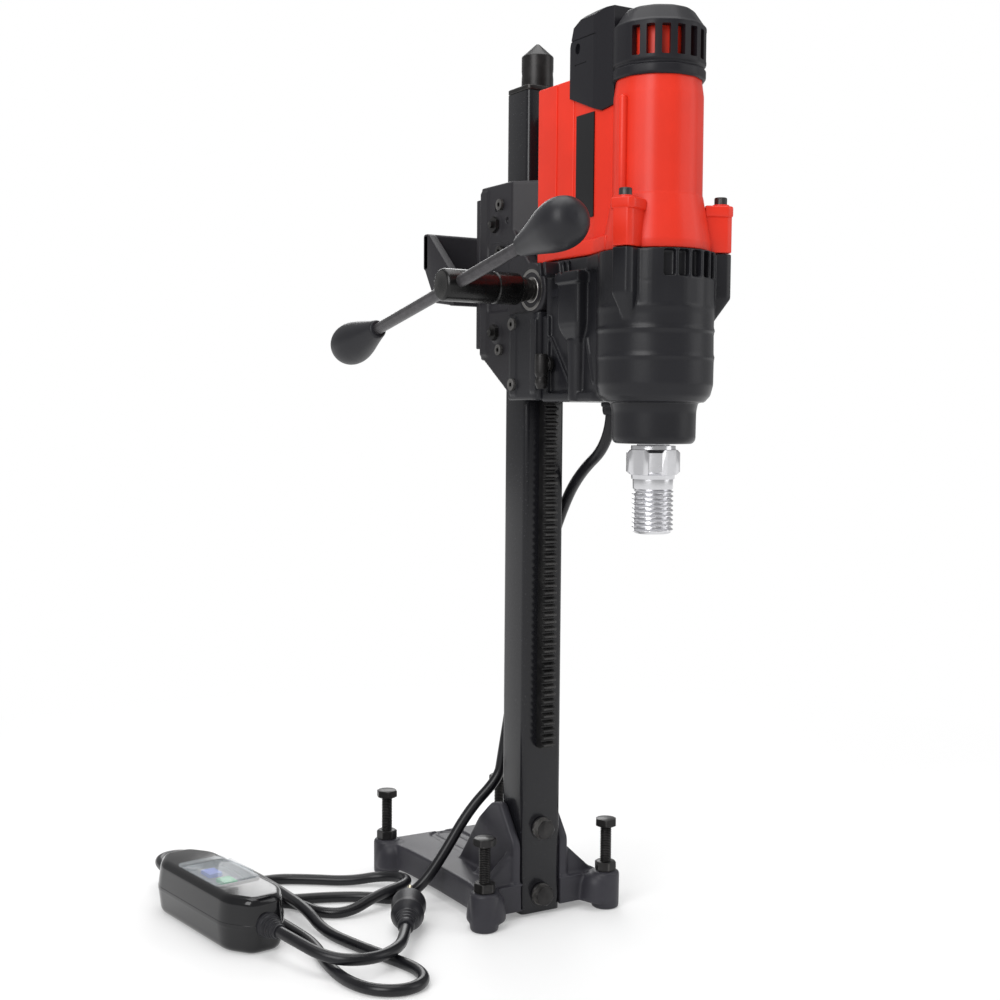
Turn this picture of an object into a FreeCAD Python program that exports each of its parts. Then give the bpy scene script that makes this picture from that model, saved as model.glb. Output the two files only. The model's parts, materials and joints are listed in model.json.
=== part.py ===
import FreeCAD, Part
import math
import operator
import os
import Sketcher
from FreeCAD import Placement, Rotation, Vector

# Core drill rig: a cast foot with levelling bolts, a square column with a rack, a carriage fed by a
# crank, and a core drill on the carriage. Millimetres. X is to the operator's right, +Y runs from the
# drill back to the column, +Z is up, and z = 0 is the floor under the levelling bosses.
os.makedirs("parts", exist_ok=True)
doc = FreeCAD.newDocument("CoreDrillRig")
sheet = doc.addObject("Spreadsheet::Sheet", "Sizes")

OPERATIONS = {"+": operator.add, "-": operator.sub, "*": operator.mul, "/": operator.truediv}


class Dim:
    """A size: its value, and the sheet expression that gives it."""

    def __init__(self, value, text):
        self.value = value
        self.text = text

    def __add__(self, other):
        return combine(self, "+", other)

    def __radd__(self, other):
        return combine(other, "+", self)

    def __sub__(self, other):
        return combine(self, "-", other)

    def __rsub__(self, other):
        return combine(other, "-", self)

    def __mul__(self, other):
        return combine(self, "*", other)

    def __rmul__(self, other):
        return combine(other, "*", self)

    def __truediv__(self, other):
        return combine(self, "/", other)

    def __neg__(self):
        return combine(0, "-", self)


def dim(thing):
    """A Dim from a Dim or a plain number."""
    if isinstance(thing, Dim):
        return thing
    return Dim(float(thing), f"({float(thing)!r})")


def combine(left, sign, right):
    left = dim(left)
    right = dim(right)
    return Dim(OPERATIONS[sign](left.value, right.value), f"({left.text} {sign} {right.text})")


def size(alias, value):
    """Write one driving dimension to the sheet and hand back its Dim."""
    row = size.row
    size.row += 1
    sheet.set(f"A{row}", alias)
    sheet.set(f"B{row}", str(value))
    sheet.setAlias(f"B{row}", alias)
    return Dim(float(value), f"Sizes.{alias}")


size.row = 1

# ---------------------------------------------------------------- helpers
AXES = {"X": Rotation(Vector(0, 0, 1), Vector(1, 0, 0)), "Y": Rotation(Vector(0, 0, 1), Vector(0, 1, 0)),
        "Z": Rotation()}
nodes = {}


def bind(thing, prop, value):
    thing.setExpression(prop, dim(value).text)


def put(thing, x=0, y=0, z=0, rotation=None):
    """Place an object, with its position bound to the sheet."""
    if rotation is not None:
        thing.Placement = Placement(Vector(), rotation)
    for axis, value in zip("xyz", (x, y, z)):
        bind(thing, f"Placement.Base.{axis}", value)
    return thing


def box(name, x_span, y_span, z_span):
    """A block between two values on each axis."""
    block = doc.addObject("Part::Box", name)
    for prop, span in (("Length", x_span), ("Width", y_span), ("Height", z_span)):
        bind(block, prop, span[1] - dim(span[0]))
    return put(block, x_span[0], y_span[0], z_span[0])


def at_axis(axis, centre, start):
    """The start point of a round piece on an axis; centre holds the other two coordinates in order."""
    first, second = centre
    return {"X": (start, first, second), "Y": (first, start, second), "Z": (first, second, start)}[axis]


def rod(name, radius, span, centre=(0, 0), axis="Z"):
    """A cylinder along an axis from span[0] to span[1]."""
    piece = doc.addObject("Part::Cylinder", name)
    bind(piece, "Radius", radius)
    bind(piece, "Height", span[1] - dim(span[0]))
    return put(piece, *at_axis(axis, centre, span[0]), rotation=AXES[axis])


def cone(name, radii, span, centre=(0, 0), axis="Z"):
    """A cone frustum from radii[0] at span[0] to radii[1] at span[1]."""
    piece = doc.addObject("Part::Cone", name)
    bind(piece, "Radius1", radii[0])
    bind(piece, "Radius2", radii[1])
    bind(piece, "Height", span[1] - dim(span[0]))
    return put(piece, *at_axis(axis, centre, span[0]), rotation=AXES[axis])


def hexagon(name, across, span, centre=(0, 0), axis="Z"):
    """A hexagonal prism, given its size across the flats."""
    piece = doc.addObject("Part::Prism", name)
    piece.Polygon = 6
    bind(piece, "Circumradius", dim(across) / math.sqrt(3))
    bind(piece, "Height", span[1] - dim(span[0]))
    return put(piece, *at_axis(axis, centre, span[0]), rotation=AXES[axis])


def fuse(name, *pieces):
    union = doc.addObject("Part::MultiFuse", name)
    union.Shapes = list(pieces)
    union.Refine = True
    return union


def group(name, *pieces):
    """Separate solids that share one node."""
    compound = doc.addObject("Part::Compound", name)
    compound.Links = list(pieces)
    return compound


def cut(name, base, *tools):
    difference = doc.addObject("Part::Cut", name)
    difference.Base = base
    difference.Tool = tools[0] if len(tools) == 1 else fuse(name + "_cuts", *tools)
    difference.Refine = True
    return difference


def rounded(name, base, radius, pick):
    """Fillet the straight edges of base that pick(start, end) chooses."""
    doc.recompute()
    chosen = []
    for index, edge in enumerate(base.Shape.Edges, start=1):
        ends = edge.Vertexes
        if len(ends) == 2 and isinstance(edge.Curve, Part.Line) and pick(ends[0].Point, ends[1].Point):
            chosen.append((index, dim(radius).value, dim(radius).value))
    fillet = doc.addObject("Part::Fillet", name)
    fillet.Base = base
    fillet.Edges = chosen
    return fillet


def upright(start, end):
    return abs(start.x - end.x) < 1e-6 and abs(start.y - end.y) < 1e-6


def along_x(start, end):
    return abs(start.z - end.z) < 1e-6 and abs(start.y - end.y) < 1e-6


def outline(body, plane, points):
    """A closed polygon sketch whose corners are held by distances bound to the sheet."""
    sketch = body.newObject("Sketcher::SketchObject", body.Name + "_sketch")
    origin_plane = [f for f in body.Origin.OriginFeatures if f.Role == plane][0]
    sketch.AttachmentSupport = [(origin_plane, "")]
    sketch.MapMode = "FlatFace"
    corners = [Vector(dim(p).value, dim(q).value, 0) for p, q in points]
    count = len(corners)
    for index in range(count):
        sketch.addGeometry(Part.LineSegment(corners[index], corners[(index + 1) % count]), False)
    for index in range(count):
        sketch.addConstraint(Sketcher.Constraint("Coincident", index, 2, (index + 1) % count, 1))
    for index, (p, q) in enumerate(points):
        for kind, value in (("DistanceX", p), ("DistanceY", q)):
            number = sketch.addConstraint(Sketcher.Constraint(kind, -1, 1, index, 1, dim(value).value))
            sketch.setExpression(f"Constraints[{number}]", dim(value).text)
    return sketch


def slab(name, plane, points, span):
    """A polygon pushed between two values on the axis across its plane (YZ: X, XZ: Y, XY: Z)."""
    body = doc.addObject("PartDesign::Body", name)
    sketch = outline(body, plane + "_Plane", points)
    pad = body.newObject("PartDesign::Pad", name + "_pad")
    pad.Profile = sketch
    bind(pad, "Length", span[1] - dim(span[0]))
    if plane == "XZ":  # this plane's normal is -Y
        return put(body, y=span[1])
    if plane == "YZ":
        return put(body, x=span[0])
    return put(body, z=span[0])


def turned(name, profile, centre=(0, 0), base=0, rotation=None):
    """A profile of (radius, height) points turned about an upright axis."""
    body = doc.addObject("PartDesign::Body", name)
    sketch = outline(body, "XZ_Plane", profile)
    spin = body.newObject("PartDesign::Revolution", name + "_turn")
    spin.Profile = sketch
    spin.ReferenceAxis = (sketch, ["V_Axis"])
    spin.Angle = 360
    if rotation is None:
        return put(body, centre[0], centre[1], base)
    return put(body, centre[0], centre[1], base, rotation)


def node(name, thing):
    """Name a finished sub-part; the label is its file's name."""
    thing.Label = name
    nodes[name] = thing
    return thing


def shape_node(name, shape):
    feature = doc.addObject("Part::Feature", name)
    feature.Shape = shape
    return node(name, feature)


# ---------------------------------------------------------------- driving dimensions
fit = size("running_clearance", 0.05)
gap = size("loose_clearance", 0.4)

boss_half_x = size("boss_half_spacing_x", 62.5)
boss_front_y = size("boss_front_y", -9)
boss_spacing_y = size("boss_spacing_y", 184)
boss_radius = size("boss_radius", 12.2)
boss_height = size("boss_height", 33.4)
plate_low = size("plate_underside", 6.5)
plate_high = size("plate_top", 31)
plate_wall = size("plate_wall", 7)
cheek_wall = size("cheek_wall", 8.2)
cheek_top = size("cheek_top", 97)
anchor_half = size("anchor_slot_half_width", 8.5)
boss_back_y = boss_front_y + boss_spacing_y

column_half = size("column_half_width", 19.8)
column_deep = size("column_depth", 35)
column_wall = size("column_wall", 3)
column_corner = size("column_corner", 2.4)
column_foot = size("column_foot", 2.8)
column_top = size("column_top", 708.7)
cap_thick = size("top_cap_thickness", 4.4)

rack_half = size("rack_half_width", 6)
rack_room = size("rack_side_clearance", 1.5)
rack_module = size("rack_module", 2)
rack_pitch_depth = size("rack_pitch_depth", 10)
rack_teeth_below = size("rack_teeth_below_pinion", 62)
rack_teeth = size("rack_teeth", 86)
pinion_teeth = size("pinion_teeth", 18)
pinion_height = size("pinion_height", 539.4)
feed_radius = size("feed_shaft_radius", 7.5)
feed_bearing_radius = size("feed_bearing_radius", 17.5)
feed_bearing_wide = size("feed_bearing_width", 11)
lug_radius = size("lug_radius", 22.5)
hub_radius = size("hub_radius", 13)
hub_end = size("hub_end_x", -118)
hub_start = size("hub_start_x", -46)
crank_plane = size("crank_plane_x", -106)
crank_rod_radius = size("crank_rod_radius", 5)
crank_front = size("crank_front_reach", 160)
crank_rear = size("crank_rear_reach", 194)
crank_turn = size("crank_tilt", 11.7)
knob_radius = size("knob_radius", 18)

bolt_radius = size("levelling_bolt_radius", 5)
bolt_head_top = size("levelling_bolt_top", 80)
bolt_head_high = size("levelling_bolt_head", 6.6)
bolt_head_across = size("levelling_bolt_across", 19)
bolt_tip = size("levelling_bolt_tip", 3)
nut_high = size("levelling_nut_height", 8.2)

jack_radius = size("jack_head_radius", 13.6)
jack_shoulder = column_top + size("jack_shoulder_above_column", 32.3)
jack_tip = jack_shoulder + size("jack_point_height", 10)
jack_thread_radius = size("jack_thread_radius", 10)
jack_thread_long = size("jack_thread_length", 62)
bar_radius = size("jack_bar_hole_radius", 3.6)
bar_turn = size("jack_bar_hole_turn", -31)

carriage_half = size("carriage_half_width", 34)
carriage_low = size("carriage_bottom", 484)
carriage_high = size("carriage_top", 632)
carriage_front = size("carriage_front_y", -20)
carriage_flank = size("carriage_flank_y", 2)
carriage_back = size("carriage_back_y", 53)
back_plate_thick = size("back_plate_thickness", 6)
pad_thick = size("slide_pad_thickness", 4)
bracket_half = size("bracket_half_width", 38)
bracket_low = size("bracket_bottom", 449)
bracket_high = size("bracket_top", 521)
bracket_front = size("bracket_front_y", -46)

drill_y = size("drill_axis_y", -153.3)
gear_module = size("gear_module", 1.25)
gear_small = size("gear_small_teeth", 14)
gear_large = size("gear_large_teeth", 42)
centre_play = size("gear_centre_play", 0.12)
housing_radius = size("gear_housing_radius", 44.4)
housing_wall = size("gear_housing_wall", 3.5)
housing_low = size("gear_housing_bottom", 447)
seam = size("motor_seam_height", 564)
nose_radius = size("nose_radius", 32)
nose_low = size("nose_bottom", 415.5)
rear_half = size("gear_rear_half_width", 34)
rear_front_y = size("gear_rear_y", -47)
spindle_radius = size("spindle_radius", 12.5)
spindle_flange = size("spindle_hex_radius", 20.6)
spindle_flange_low = size("spindle_hex_bottom", 391.5)
thread_radius = size("spindle_thread_radius", 15.875)
spindle_tip = size("spindle_tip", 346.5)

motor_radius = size("motor_radius", 34)
motor_flare = size("motor_flare_radius", 41)
motor_wall = size("motor_wall", 3)
motor_top = size("motor_top", 690)
block_half = size("rear_block_half_width", 29)
block_back = size("rear_block_back_y", -27)
block_top = size("rear_block_top", 702)
cap_radius = size("vent_cap_radius", 34.7)
cap_top = size("vent_cap_top", 744.5)
shaft_radius = size("armature_shaft_radius", 5)

cord_radius = size("cord_radius", 4.75)
floor_rest = size("cord_rest_height", 4.9)
lead_height = size("lead_height", 14.7)
box_x = size("switch_box_x", -253)
box_y = size("switch_box_y", 113)
box_turn = size("switch_box_turn", -82.9)
box_half = size("switch_box_half_length", 83)
box_wide = size("switch_box_half_width", 29)
box_high = size("switch_box_height", 47)
box_split = size("switch_box_split", 23)
gland_high = size("switch_box_gland_height", 24)
plug_x = size("plug_x", -138)
plug_y = size("plug_y", -10)
plug_high = size("plug_height", 16)
plug_turn = size("plug_turn", 60)
plug_radius = size("plug_radius", 15)

pinion_pitch = rack_module * pinion_teeth / 2
pinion_y = -rack_pitch_depth - pinion_pitch - fit * 2
rack_step = rack_module * math.pi
rack_low = pinion_height - rack_teeth_below * rack_step
rack_high = rack_low + rack_teeth * rack_step

boss_places = [(boss_half_x * side, y) for y in (boss_front_y, boss_back_y) for side in (-1, 1)]
place_names = ["front_left", "front_right", "rear_left", "rear_right"]

# ---------------------------------------------------------------- foot
column_bolt_heights = [size("column_bolt_low", 18.8), size("column_bolt_high", 77.5)]
column_bolt_radius = size("column_bolt_radius", 5)
column_bolt_across = size("column_bolt_across", 16)
bolt_head = size("column_bolt_head", 6.4)
washer_radius = size("washer_radius", 10)
washer_thick = size("washer_thickness", 1.6)
cap_spigot = size("cap_spigot_height", 8)
jack_nut_across = size("jack_nut_across", 27)
jack_nut_high = size("jack_nut_height", 16)
screw_radius = size("rack_screw_radius", 2.5)
screw_head_radius = size("rack_screw_head_radius", 5)
screw_head_high = size("rack_screw_head_height", 4)
rack_screw_heights = [rack_low + 20, rack_low + 160, rack_low + 380, rack_low + 520]
web_back = size("back_web_y", 46)
cheek_back = size("cheek_back_y", 97)
slot_front = size("anchor_slot_front_y", 112)
slot_back = size("anchor_slot_back_y", 172)
waist = size("plate_waist", 4)
cheek_inner = column_half + gap / 2
cheek_outer = cheek_inner + cheek_wall
column_back = column_deep + gap / 2


def base_plate():
    side = boss_half_x + 1
    plate = slab("plate", "XY", [
        (-side, boss_front_y), (-side + waist, boss_front_y + 30), (-side + waist, boss_back_y - 30),
        (-side, boss_back_y), (-boss_half_x, boss_back_y + 9), (boss_half_x, boss_back_y + 9),
        (side, boss_back_y), (side - waist, boss_back_y - 30), (side - waist, boss_front_y + 30),
        (side, boss_front_y), (boss_half_x - 14, 0), (14 - boss_half_x, 0)], (plate_low, plate_high))
    bosses = [rod("boss", boss_radius, (0, boss_height), place) for place in boss_places]
    cheek_line = [(0, plate_low), (0, 68), (24, cheek_top), (41, cheek_top - 3), (61, 78),
                  (cheek_back, plate_high - 1), (cheek_back, plate_low)]
    cheeks = [slab("cheek", "YZ", cheek_line, span) for span in
              ((-cheek_outer, -cheek_inner), (cheek_inner, cheek_outer))]
    web = box("web", (-cheek_outer, cheek_outer), (column_back, web_back), (plate_low, cheek_top - 8))
    gusset_line = [(cheek_inner, plate_low), (boss_half_x, plate_low), (boss_half_x, boss_height - 2),
                   (cheek_inner, 60)]
    gussets = [slab("gusset_right", "XZ", gusset_line, (4, 11)),
               slab("gusset_left", "XZ", [(-x, height) for x, height in gusset_line], (4, 11))]
    body = fuse("foot", plate, *bosses, *cheeks, web, *gussets)
    hollow = box("hollow", (-boss_half_x + plate_wall + 5, boss_half_x - plate_wall - 5),
                 (web_back + plate_wall, boss_back_y - plate_wall), (plate_low - 1, plate_high - plate_wall))
    seat = box("column_seat", (-cheek_inner, cheek_inner), (boss_front_y - 5, column_back),
               (-1, cheek_top + 5))
    slot = fuse("anchor_slot", box("slot_middle", (-anchor_half, anchor_half), (slot_front, slot_back),
                                   (0, plate_high + 1)),
                *[rod("slot_end", anchor_half, (0, plate_high + 1), (0, y)) for y in (slot_front, slot_back)])
    recess = box("slot_recess", (-anchor_half - 9, anchor_half + 9), (slot_front - 14, slot_back + 12),
                 (plate_high - 2.5, plate_high + 1))
    tapped = [rod("tapped", bolt_radius + fit, (-1, boss_height + 1), place) for place in boss_places]
    web_holes = [rod("web_hole", column_bolt_radius, (column_deep - 1, web_back + 1), (0, height), "Y")
                 for height in column_bolt_heights]
    node("base_plate", cut("base_casting", body, hollow, seat, slot, recess, *tapped, *web_holes))


def column():
    edge = column_corner
    plan = [(edge - column_half, 0), (column_half - edge, 0), (column_half, edge),
            (column_half, column_deep - edge), (column_half - edge, column_deep),
            (edge - column_half, column_deep), (-column_half, column_deep - edge), (-column_half, edge)]
    bore = box("column_bore", (column_wall - column_half, column_half - column_wall),
               (column_wall, column_deep - column_wall), (column_foot - 1, column_top + 1))
    holes = [rod("column_hole", column_bolt_radius + gap / 2, (-1, column_deep + 1), (0, height), "Y")
             for height in column_bolt_heights]
    screws = [rod("rack_hole", screw_radius, (-1, column_wall + 1), (0, height), "Y")
              for height in rack_screw_heights]
    tube = slab("column_plan", "XY", plan, (column_foot, column_top))
    node("column_tube", cut("column_drilled", tube, bore, *holes, *screws))

    bolts = []
    washers = []
    for height in column_bolt_heights:
        place = (0, height)
        washer = rod("washer_disc", washer_radius, (-washer_thick, 0), place, "Y")
        hole = rod("washer_hole", column_bolt_radius + gap / 2, (-washer_thick - 1, 1), place, "Y")
        washers.append(cut("washer", washer, hole))
        under_head = -washer_thick
        head = hexagon("bolt_head", column_bolt_across, (under_head - bolt_head, under_head), place, "Y")
        shank = rod("bolt_shank", column_bolt_radius, (under_head, web_back), place, "Y")
        bolts.append(fuse("bolt", head, shank))
    node("column_bolts", group("bolts", *bolts))
    node("column_washers", group("washers", *washers))

    cap = box("cap_block", (-column_half, column_half), (0, column_deep),
              (column_top, column_top + cap_thick))
    cap = rounded("cap_round", cap, column_corner, upright)
    spigot = box("cap_spigot", (column_wall + gap - column_half, column_half - column_wall - gap),
                 (column_wall + gap, column_deep - column_wall - gap), (column_top - cap_spigot, column_top))
    middle = (0, column_deep / 2)
    bore = rod("cap_bore", jack_thread_radius + fit, (column_top - 20, column_top + 10), middle)
    node("column_cap", cut("cap_bored", fuse("cap_solid", cap, spigot), bore))
    nut_top = column_top - cap_spigot
    nut = hexagon("jack_nut_hex", jack_nut_across, (nut_top - jack_nut_high, nut_top), middle)
    nut_span = (nut_top - jack_nut_high - 1, nut_top + 1)
    nut_bore = rod("jack_nut_bore", jack_thread_radius + fit, nut_span, middle)
    node("jack_nut", cut("jack_nut_bored", nut, nut_bore))
    seat = column_top + cap_thick + gap / 2
    head = turned("jack_head", [
        (0, seat), (jack_radius - 0.6, seat), (jack_radius, seat + 0.6), (jack_radius, jack_shoulder - 0.8),
        (jack_radius - 0.8, jack_shoulder), (1.2, jack_tip), (0, jack_tip)], middle)
    stem = rod("jack_stem", jack_thread_radius, (seat - jack_thread_long, seat), middle)
    across = Vector(math.cos(math.radians(bar_turn.value)), math.sin(math.radians(bar_turn.value)), 0)
    bar = rod("bar_hole", bar_radius, (0, 40))
    put(bar, -20 * across.x, column_deep / 2 - 20 * across.y, seat + 12, Rotation(Vector(0, 0, 1), across))
    node("jack_screw", cut("jack_drilled", fuse("jack_solid", head, stem), bar))


def levelling_bolts():
    nuts = []
    for name, place in zip(place_names, boss_places):
        head_low = bolt_head_top - bolt_head_high
        bolt = fuse("level_" + name, rod("level_shank", bolt_radius, (bolt_tip, head_low), place),
                    hexagon("level_head", bolt_head_across, (head_low, bolt_head_top), place))
        node("levelling_bolt_" + name, bolt)
        nut = hexagon("nut_hex", bolt_head_across, (boss_height, boss_height + nut_high), place)
        bore = rod("nut_bore", bolt_radius + fit, (boss_height - 1, boss_height + nut_high + 1), place)
        nuts.append(cut("nut", nut, bore))
    node("levelling_nuts", group("nuts", *nuts))


# ---------------------------------------------------------------- toothed parts
pressure = math.radians(20)


def involute(angle):
    return math.tan(angle) - angle


def gear_face(teeth, module, addendum, play, tooth_angle, centre):
    """A spur gear outline as a face: each tooth is two involutes closed by tip and root arcs."""
    pitch = module * teeth / 2
    base = pitch * math.cos(pressure)
    tip = pitch + module * addendum
    root = pitch - module * 1.25
    half = math.pi / (2 * teeth) - play / (2 * pitch)

    def point(radius, side, middle):
        rolled = math.acos(min(1, base / max(radius, base)))
        angle = middle + side * (half + involute(pressure) - involute(rolled))
        return Vector(centre[0] + radius * math.cos(angle), centre[1] + radius * math.sin(angle), 0)

    start = max(base, root + 0.05)
    radii = [start + (tip - start) * step / 4 for step in range(5)]
    edges = []
    for tooth in range(teeth):
        middle = tooth_angle + 2 * math.pi * tooth / teeth
        following = middle + 2 * math.pi / teeth
        rising = Part.BSplineCurve()
        rising.interpolate([point(r, -1, middle) for r in radii])
        falling = Part.BSplineCurve()
        falling.interpolate([point(r, 1, middle) for r in reversed(radii)])
        edges += [
            Part.LineSegment(point(root, -1, middle), point(start, -1, middle)).toShape(),
            rising.toShape(),
            Part.LineSegment(point(tip, -1, middle), point(tip, 1, middle)).toShape(),
            falling.toShape(),
            Part.LineSegment(point(start, 1, middle), point(root, 1, middle)).toShape(),
            Part.LineSegment(point(root, 1, middle), point(root, -1, following)).toShape()]
    return Part.Face(Part.Wire(edges))


def spur_gear(teeth, span, tooth_angle, centre_y):
    """An upright drill gear with short teeth, from span[0] to span[1]."""
    face = gear_face(int(teeth.value), gear_module.value, 0.8, 0.16, tooth_angle, (0, centre_y.value))
    face.translate(Vector(0, 0, dim(span[0]).value))
    return face.extrude(Vector(0, 0, (span[1] - dim(span[0])).value))


def rack_bar():
    """A bar with straight-sided teeth on its front, in step with the pinion."""
    step = rack_step.value
    tip = (rack_pitch_depth + rack_module).value
    root = (rack_pitch_depth - rack_module * 1.25).value
    lean = math.tan(pressure)
    points = [Vector(0, 0, rack_low.value)]
    for tooth in range(int(rack_teeth.value)):
        middle = rack_low.value + (tooth + 0.5) * step
        for depth, side in ((root, -1), (tip, -1), (tip, 1), (root, 1)):
            half = step / 4 - (depth - rack_pitch_depth.value) * lean
            points.append(Vector(0, -depth, middle + side * half))
    points.insert(1, Vector(0, -root, rack_low.value))
    points.append(Vector(0, -root, rack_high.value))
    points.append(Vector(0, 0, rack_high.value))
    face = Part.Face(Part.makePolygon(points + points[:1]))
    face.translate(Vector(-rack_half.value, 0, 0))
    bar = face.extrude(Vector(2 * rack_half.value, 0, 0))
    for height in rack_screw_heights:
        bar = bar.cut(Part.makeCylinder(screw_radius.value, 6, Vector(0, -5, height.value), Vector(0, 1, 0)))
    shape_node("rack", bar)
    screws = []
    for height in rack_screw_heights:
        screws.append(fuse("rack_screw", rod("rack_screw_shank", screw_radius, (-4.5, column_wall),
                                             (0, height), "Y"),
                           rod("rack_screw_head", screw_head_radius,
                               (column_wall, column_wall + screw_head_high), (0, height), "Y")))
    node("rack_screws", group("rack_screw_set", *screws))


# ---------------------------------------------------------------- carriage
lug_half = carriage_half
lug_deep = size("lug_depth", 12)
web_top = size("lug_web_top", 593)
guide_half = column_half + pad_thick
pad_play = fit * 2
side_screw_end = guide_half + size("side_screw_end_beyond_pad", 2.2)
handle_half = size("handle_half_width", 58)
handle_back = size("handle_back_y", 114)
handle_bar = size("handle_bar_thickness", 9)
handle_low = size("handle_bar_bottom", 565)
handle_high = size("handle_bar_top", 597)
handle_foot_low = size("handle_foot_bottom", 531)
handle_foot_high = size("handle_foot_top", 562)
handle_arm = size("handle_arm_thickness", 8)
handle_foot_thick = size("handle_foot_thickness", 6)
pinion_half = size("pinion_half_width", 7)
pinion_tip = pinion_pitch + rack_module
side_screw_radius = size("side_screw_radius", 3)
mount_screw_radius = size("mount_screw_radius", 3)
mount_screw_heights = [bracket_low + 13, bracket_high - 9]
mount_screw_y = size("mount_screw_y", -9)
gib_heights = [size("gib_low", 507), size("gib_high", 598)]
gib_y = size("gib_screw_y", 27)
cover_screw_heights = [size("side_screw_low", 492), size("side_screw_middle", 575),
                       size("side_screw_high", 614)]
side_screw_y = size("side_screw_y", 19)
window_y = size("window_front_y", 23)
window_z = size("window_bottom", 609)
window_side = size("window_side", 7)
window_deep = size("window_depth", 3)
back_low = carriage_low + 10
back_high = carriage_high - 10


def plan_of_carriage():
    return [(-carriage_half, carriage_back), (-carriage_half, carriage_flank), (-12, carriage_front),
            (12, carriage_front), (carriage_half, carriage_flank), (carriage_half, carriage_back)]


def both_sides(low, high):
    """The same span on the left and on the right."""
    return ((-dim(high), -dim(low)), (dim(low), dim(high)))


def carriage():
    block = slab("carriage_block", "XY", plan_of_carriage(), (carriage_low, carriage_high))
    lug_line = [(10, web_top), (carriage_flank, web_top), (block_back + 3, seam - 2),
                (pinion_y - 10, pinion_height + lug_radius - 2),
                (pinion_y - 10, pinion_height), (pinion_y, pinion_height - lug_radius),
                (10, pinion_height - lug_radius)]
    tail_line = [(carriage_back - 3, carriage_low + 1), (carriage_flank + 1, bracket_low + 4),
                 (carriage_flank + 1, carriage_low + 1)]
    parts = [block]
    for span in both_sides(lug_half - lug_deep, lug_half):
        parts.append(rod("lug", lug_radius, span, (pinion_y, pinion_height), "X"))
        parts.append(slab("lug_web", "YZ", lug_line, span))
    for span in both_sides(guide_half + gap, carriage_half):
        parts.append(slab("tail", "YZ", tail_line, span))
    solid = fuse("carriage_solid", *parts)
    passage = box("column_passage", (-guide_half, guide_half), (-1, column_deep + pad_thick),
                  (bracket_low, carriage_high + 1))
    channel = box("rack_channel", (-rack_half - rack_room, rack_half + rack_room),
                  (-rack_pitch_depth - rack_module * 2, 0), (bracket_low, carriage_high + 1))
    feed_axis = (pinion_y, pinion_height)
    well = rod("pinion_well", pinion_tip + 1, (-pinion_half - 1, pinion_half + 1), feed_axis, "X")
    shaft_way = rod("shaft_way", feed_radius + 1, (-lug_half - 1, lug_half + 1), feed_axis, "X")
    seats = [rod("bearing_seat", feed_bearing_radius, span, feed_axis, "X") for span in
             both_sides(lug_half - feed_bearing_wide, lug_half + 1)]
    holes = [rod("gib_hole", side_screw_radius, span, (gib_y, height), "X")
             for height in gib_heights for span in both_sides(guide_half - 1, carriage_half + 1)]
    holes += [rod("side_hole", side_screw_radius, span, (side_screw_y, height), "X")
              for height in cover_screw_heights for span in both_sides(side_screw_end, carriage_half + 1)]
    holes += [rod("mount_hole", mount_screw_radius, span, (mount_screw_y, mount_screw_heights[1]), "X")
              for span in both_sides(18, carriage_half + 1)]
    window = [box("window", span, (window_y, window_y + window_side), (window_z, window_z + window_side))
              for span in both_sides(carriage_half - window_deep, carriage_half + 1)]
    back_holes = [rod("back_hole", side_screw_radius, (carriage_back - 9, carriage_back + 1), (x, z), "Y")
                  for x, z in handle_screw_places()]
    node("carriage", cut("carriage_cut", solid, passage, channel, well, shaft_way, *seats, *holes, *window,
                         *back_holes))
    plate_back = carriage_back + back_plate_thick
    plate = box("back_block", (-carriage_half - 1, carriage_half + 1), (carriage_back, plate_back),
                (back_low, back_high))
    drilled = [rod("plate_hole", side_screw_radius, (carriage_back - 1, plate_back + 1), (x, z), "Y")
               for x, z in handle_screw_places()]
    node("carriage_back_plate", cut("back_plate", plate, *drilled))
    side = (column_half + pad_play, guide_half)
    pads = [box("side_pad", span, (2, column_deep - 2), (carriage_low + 3, carriage_high - 3))
            for span in both_sides(*side)]
    pads.append(box("rear_pad", (-column_half + 2, column_half - 2),
                    (column_deep + pad_play, column_deep + pad_thick), (carriage_low + 3, carriage_high - 3)))
    node("slide_pads", group("pads", *pads))
    gibs = []
    for height in gib_heights:
        for sign, span in ((-1, (-carriage_half - 7, -guide_half)), (1, (guide_half, carriage_half + 7))):
            nut_span = (sign * (carriage_half + 4), sign * carriage_half)
            nut_span = nut_span if sign < 0 else nut_span[::-1]
            gibs.append(fuse("gib", rod("gib_stem", side_screw_radius, span, (gib_y, height), "X"),
                             hexagon("gib_nut", 12, nut_span, (gib_y, height), "X")))
    node("gib_screws", group("gibs", *gibs))
    screws = []
    for height in cover_screw_heights:
        for sign in (-1, 1):
            screws.append(screw("side_screw", sign, carriage_half, side_screw_end, side_screw_radius, 4.6,
                                (side_screw_y, height)))
    node("carriage_screws", group("side_screws", *screws))


def screw(name, sign, face, depth, radius, head, centre):
    """A socket screw along X: its head on the face at sign * face, its stem in to sign * depth."""
    if sign < 0:
        stem = rod(name + "_stem", radius, (-face, -depth), centre, "X")
        top = rod(name + "_head", head, (-face - 3, -face), centre, "X")
        socket = hexagon(name + "_socket", 3.4, (-face - 4, -face - 1.2), centre, "X")
    else:
        stem = rod(name + "_stem", radius, (depth, face), centre, "X")
        top = rod(name + "_head", head, (face, face + 3), centre, "X")
        socket = hexagon(name + "_socket", 3.4, (face + 1.2, face + 4), centre, "X")
    return cut(name, fuse(name + "_solid", stem, top), socket)


def handle_screw_places():
    middle = (handle_foot_low + handle_foot_high) / 2
    return [(x, middle + rise) for x in (-22, 22) for rise in (-8, 8)]


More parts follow.
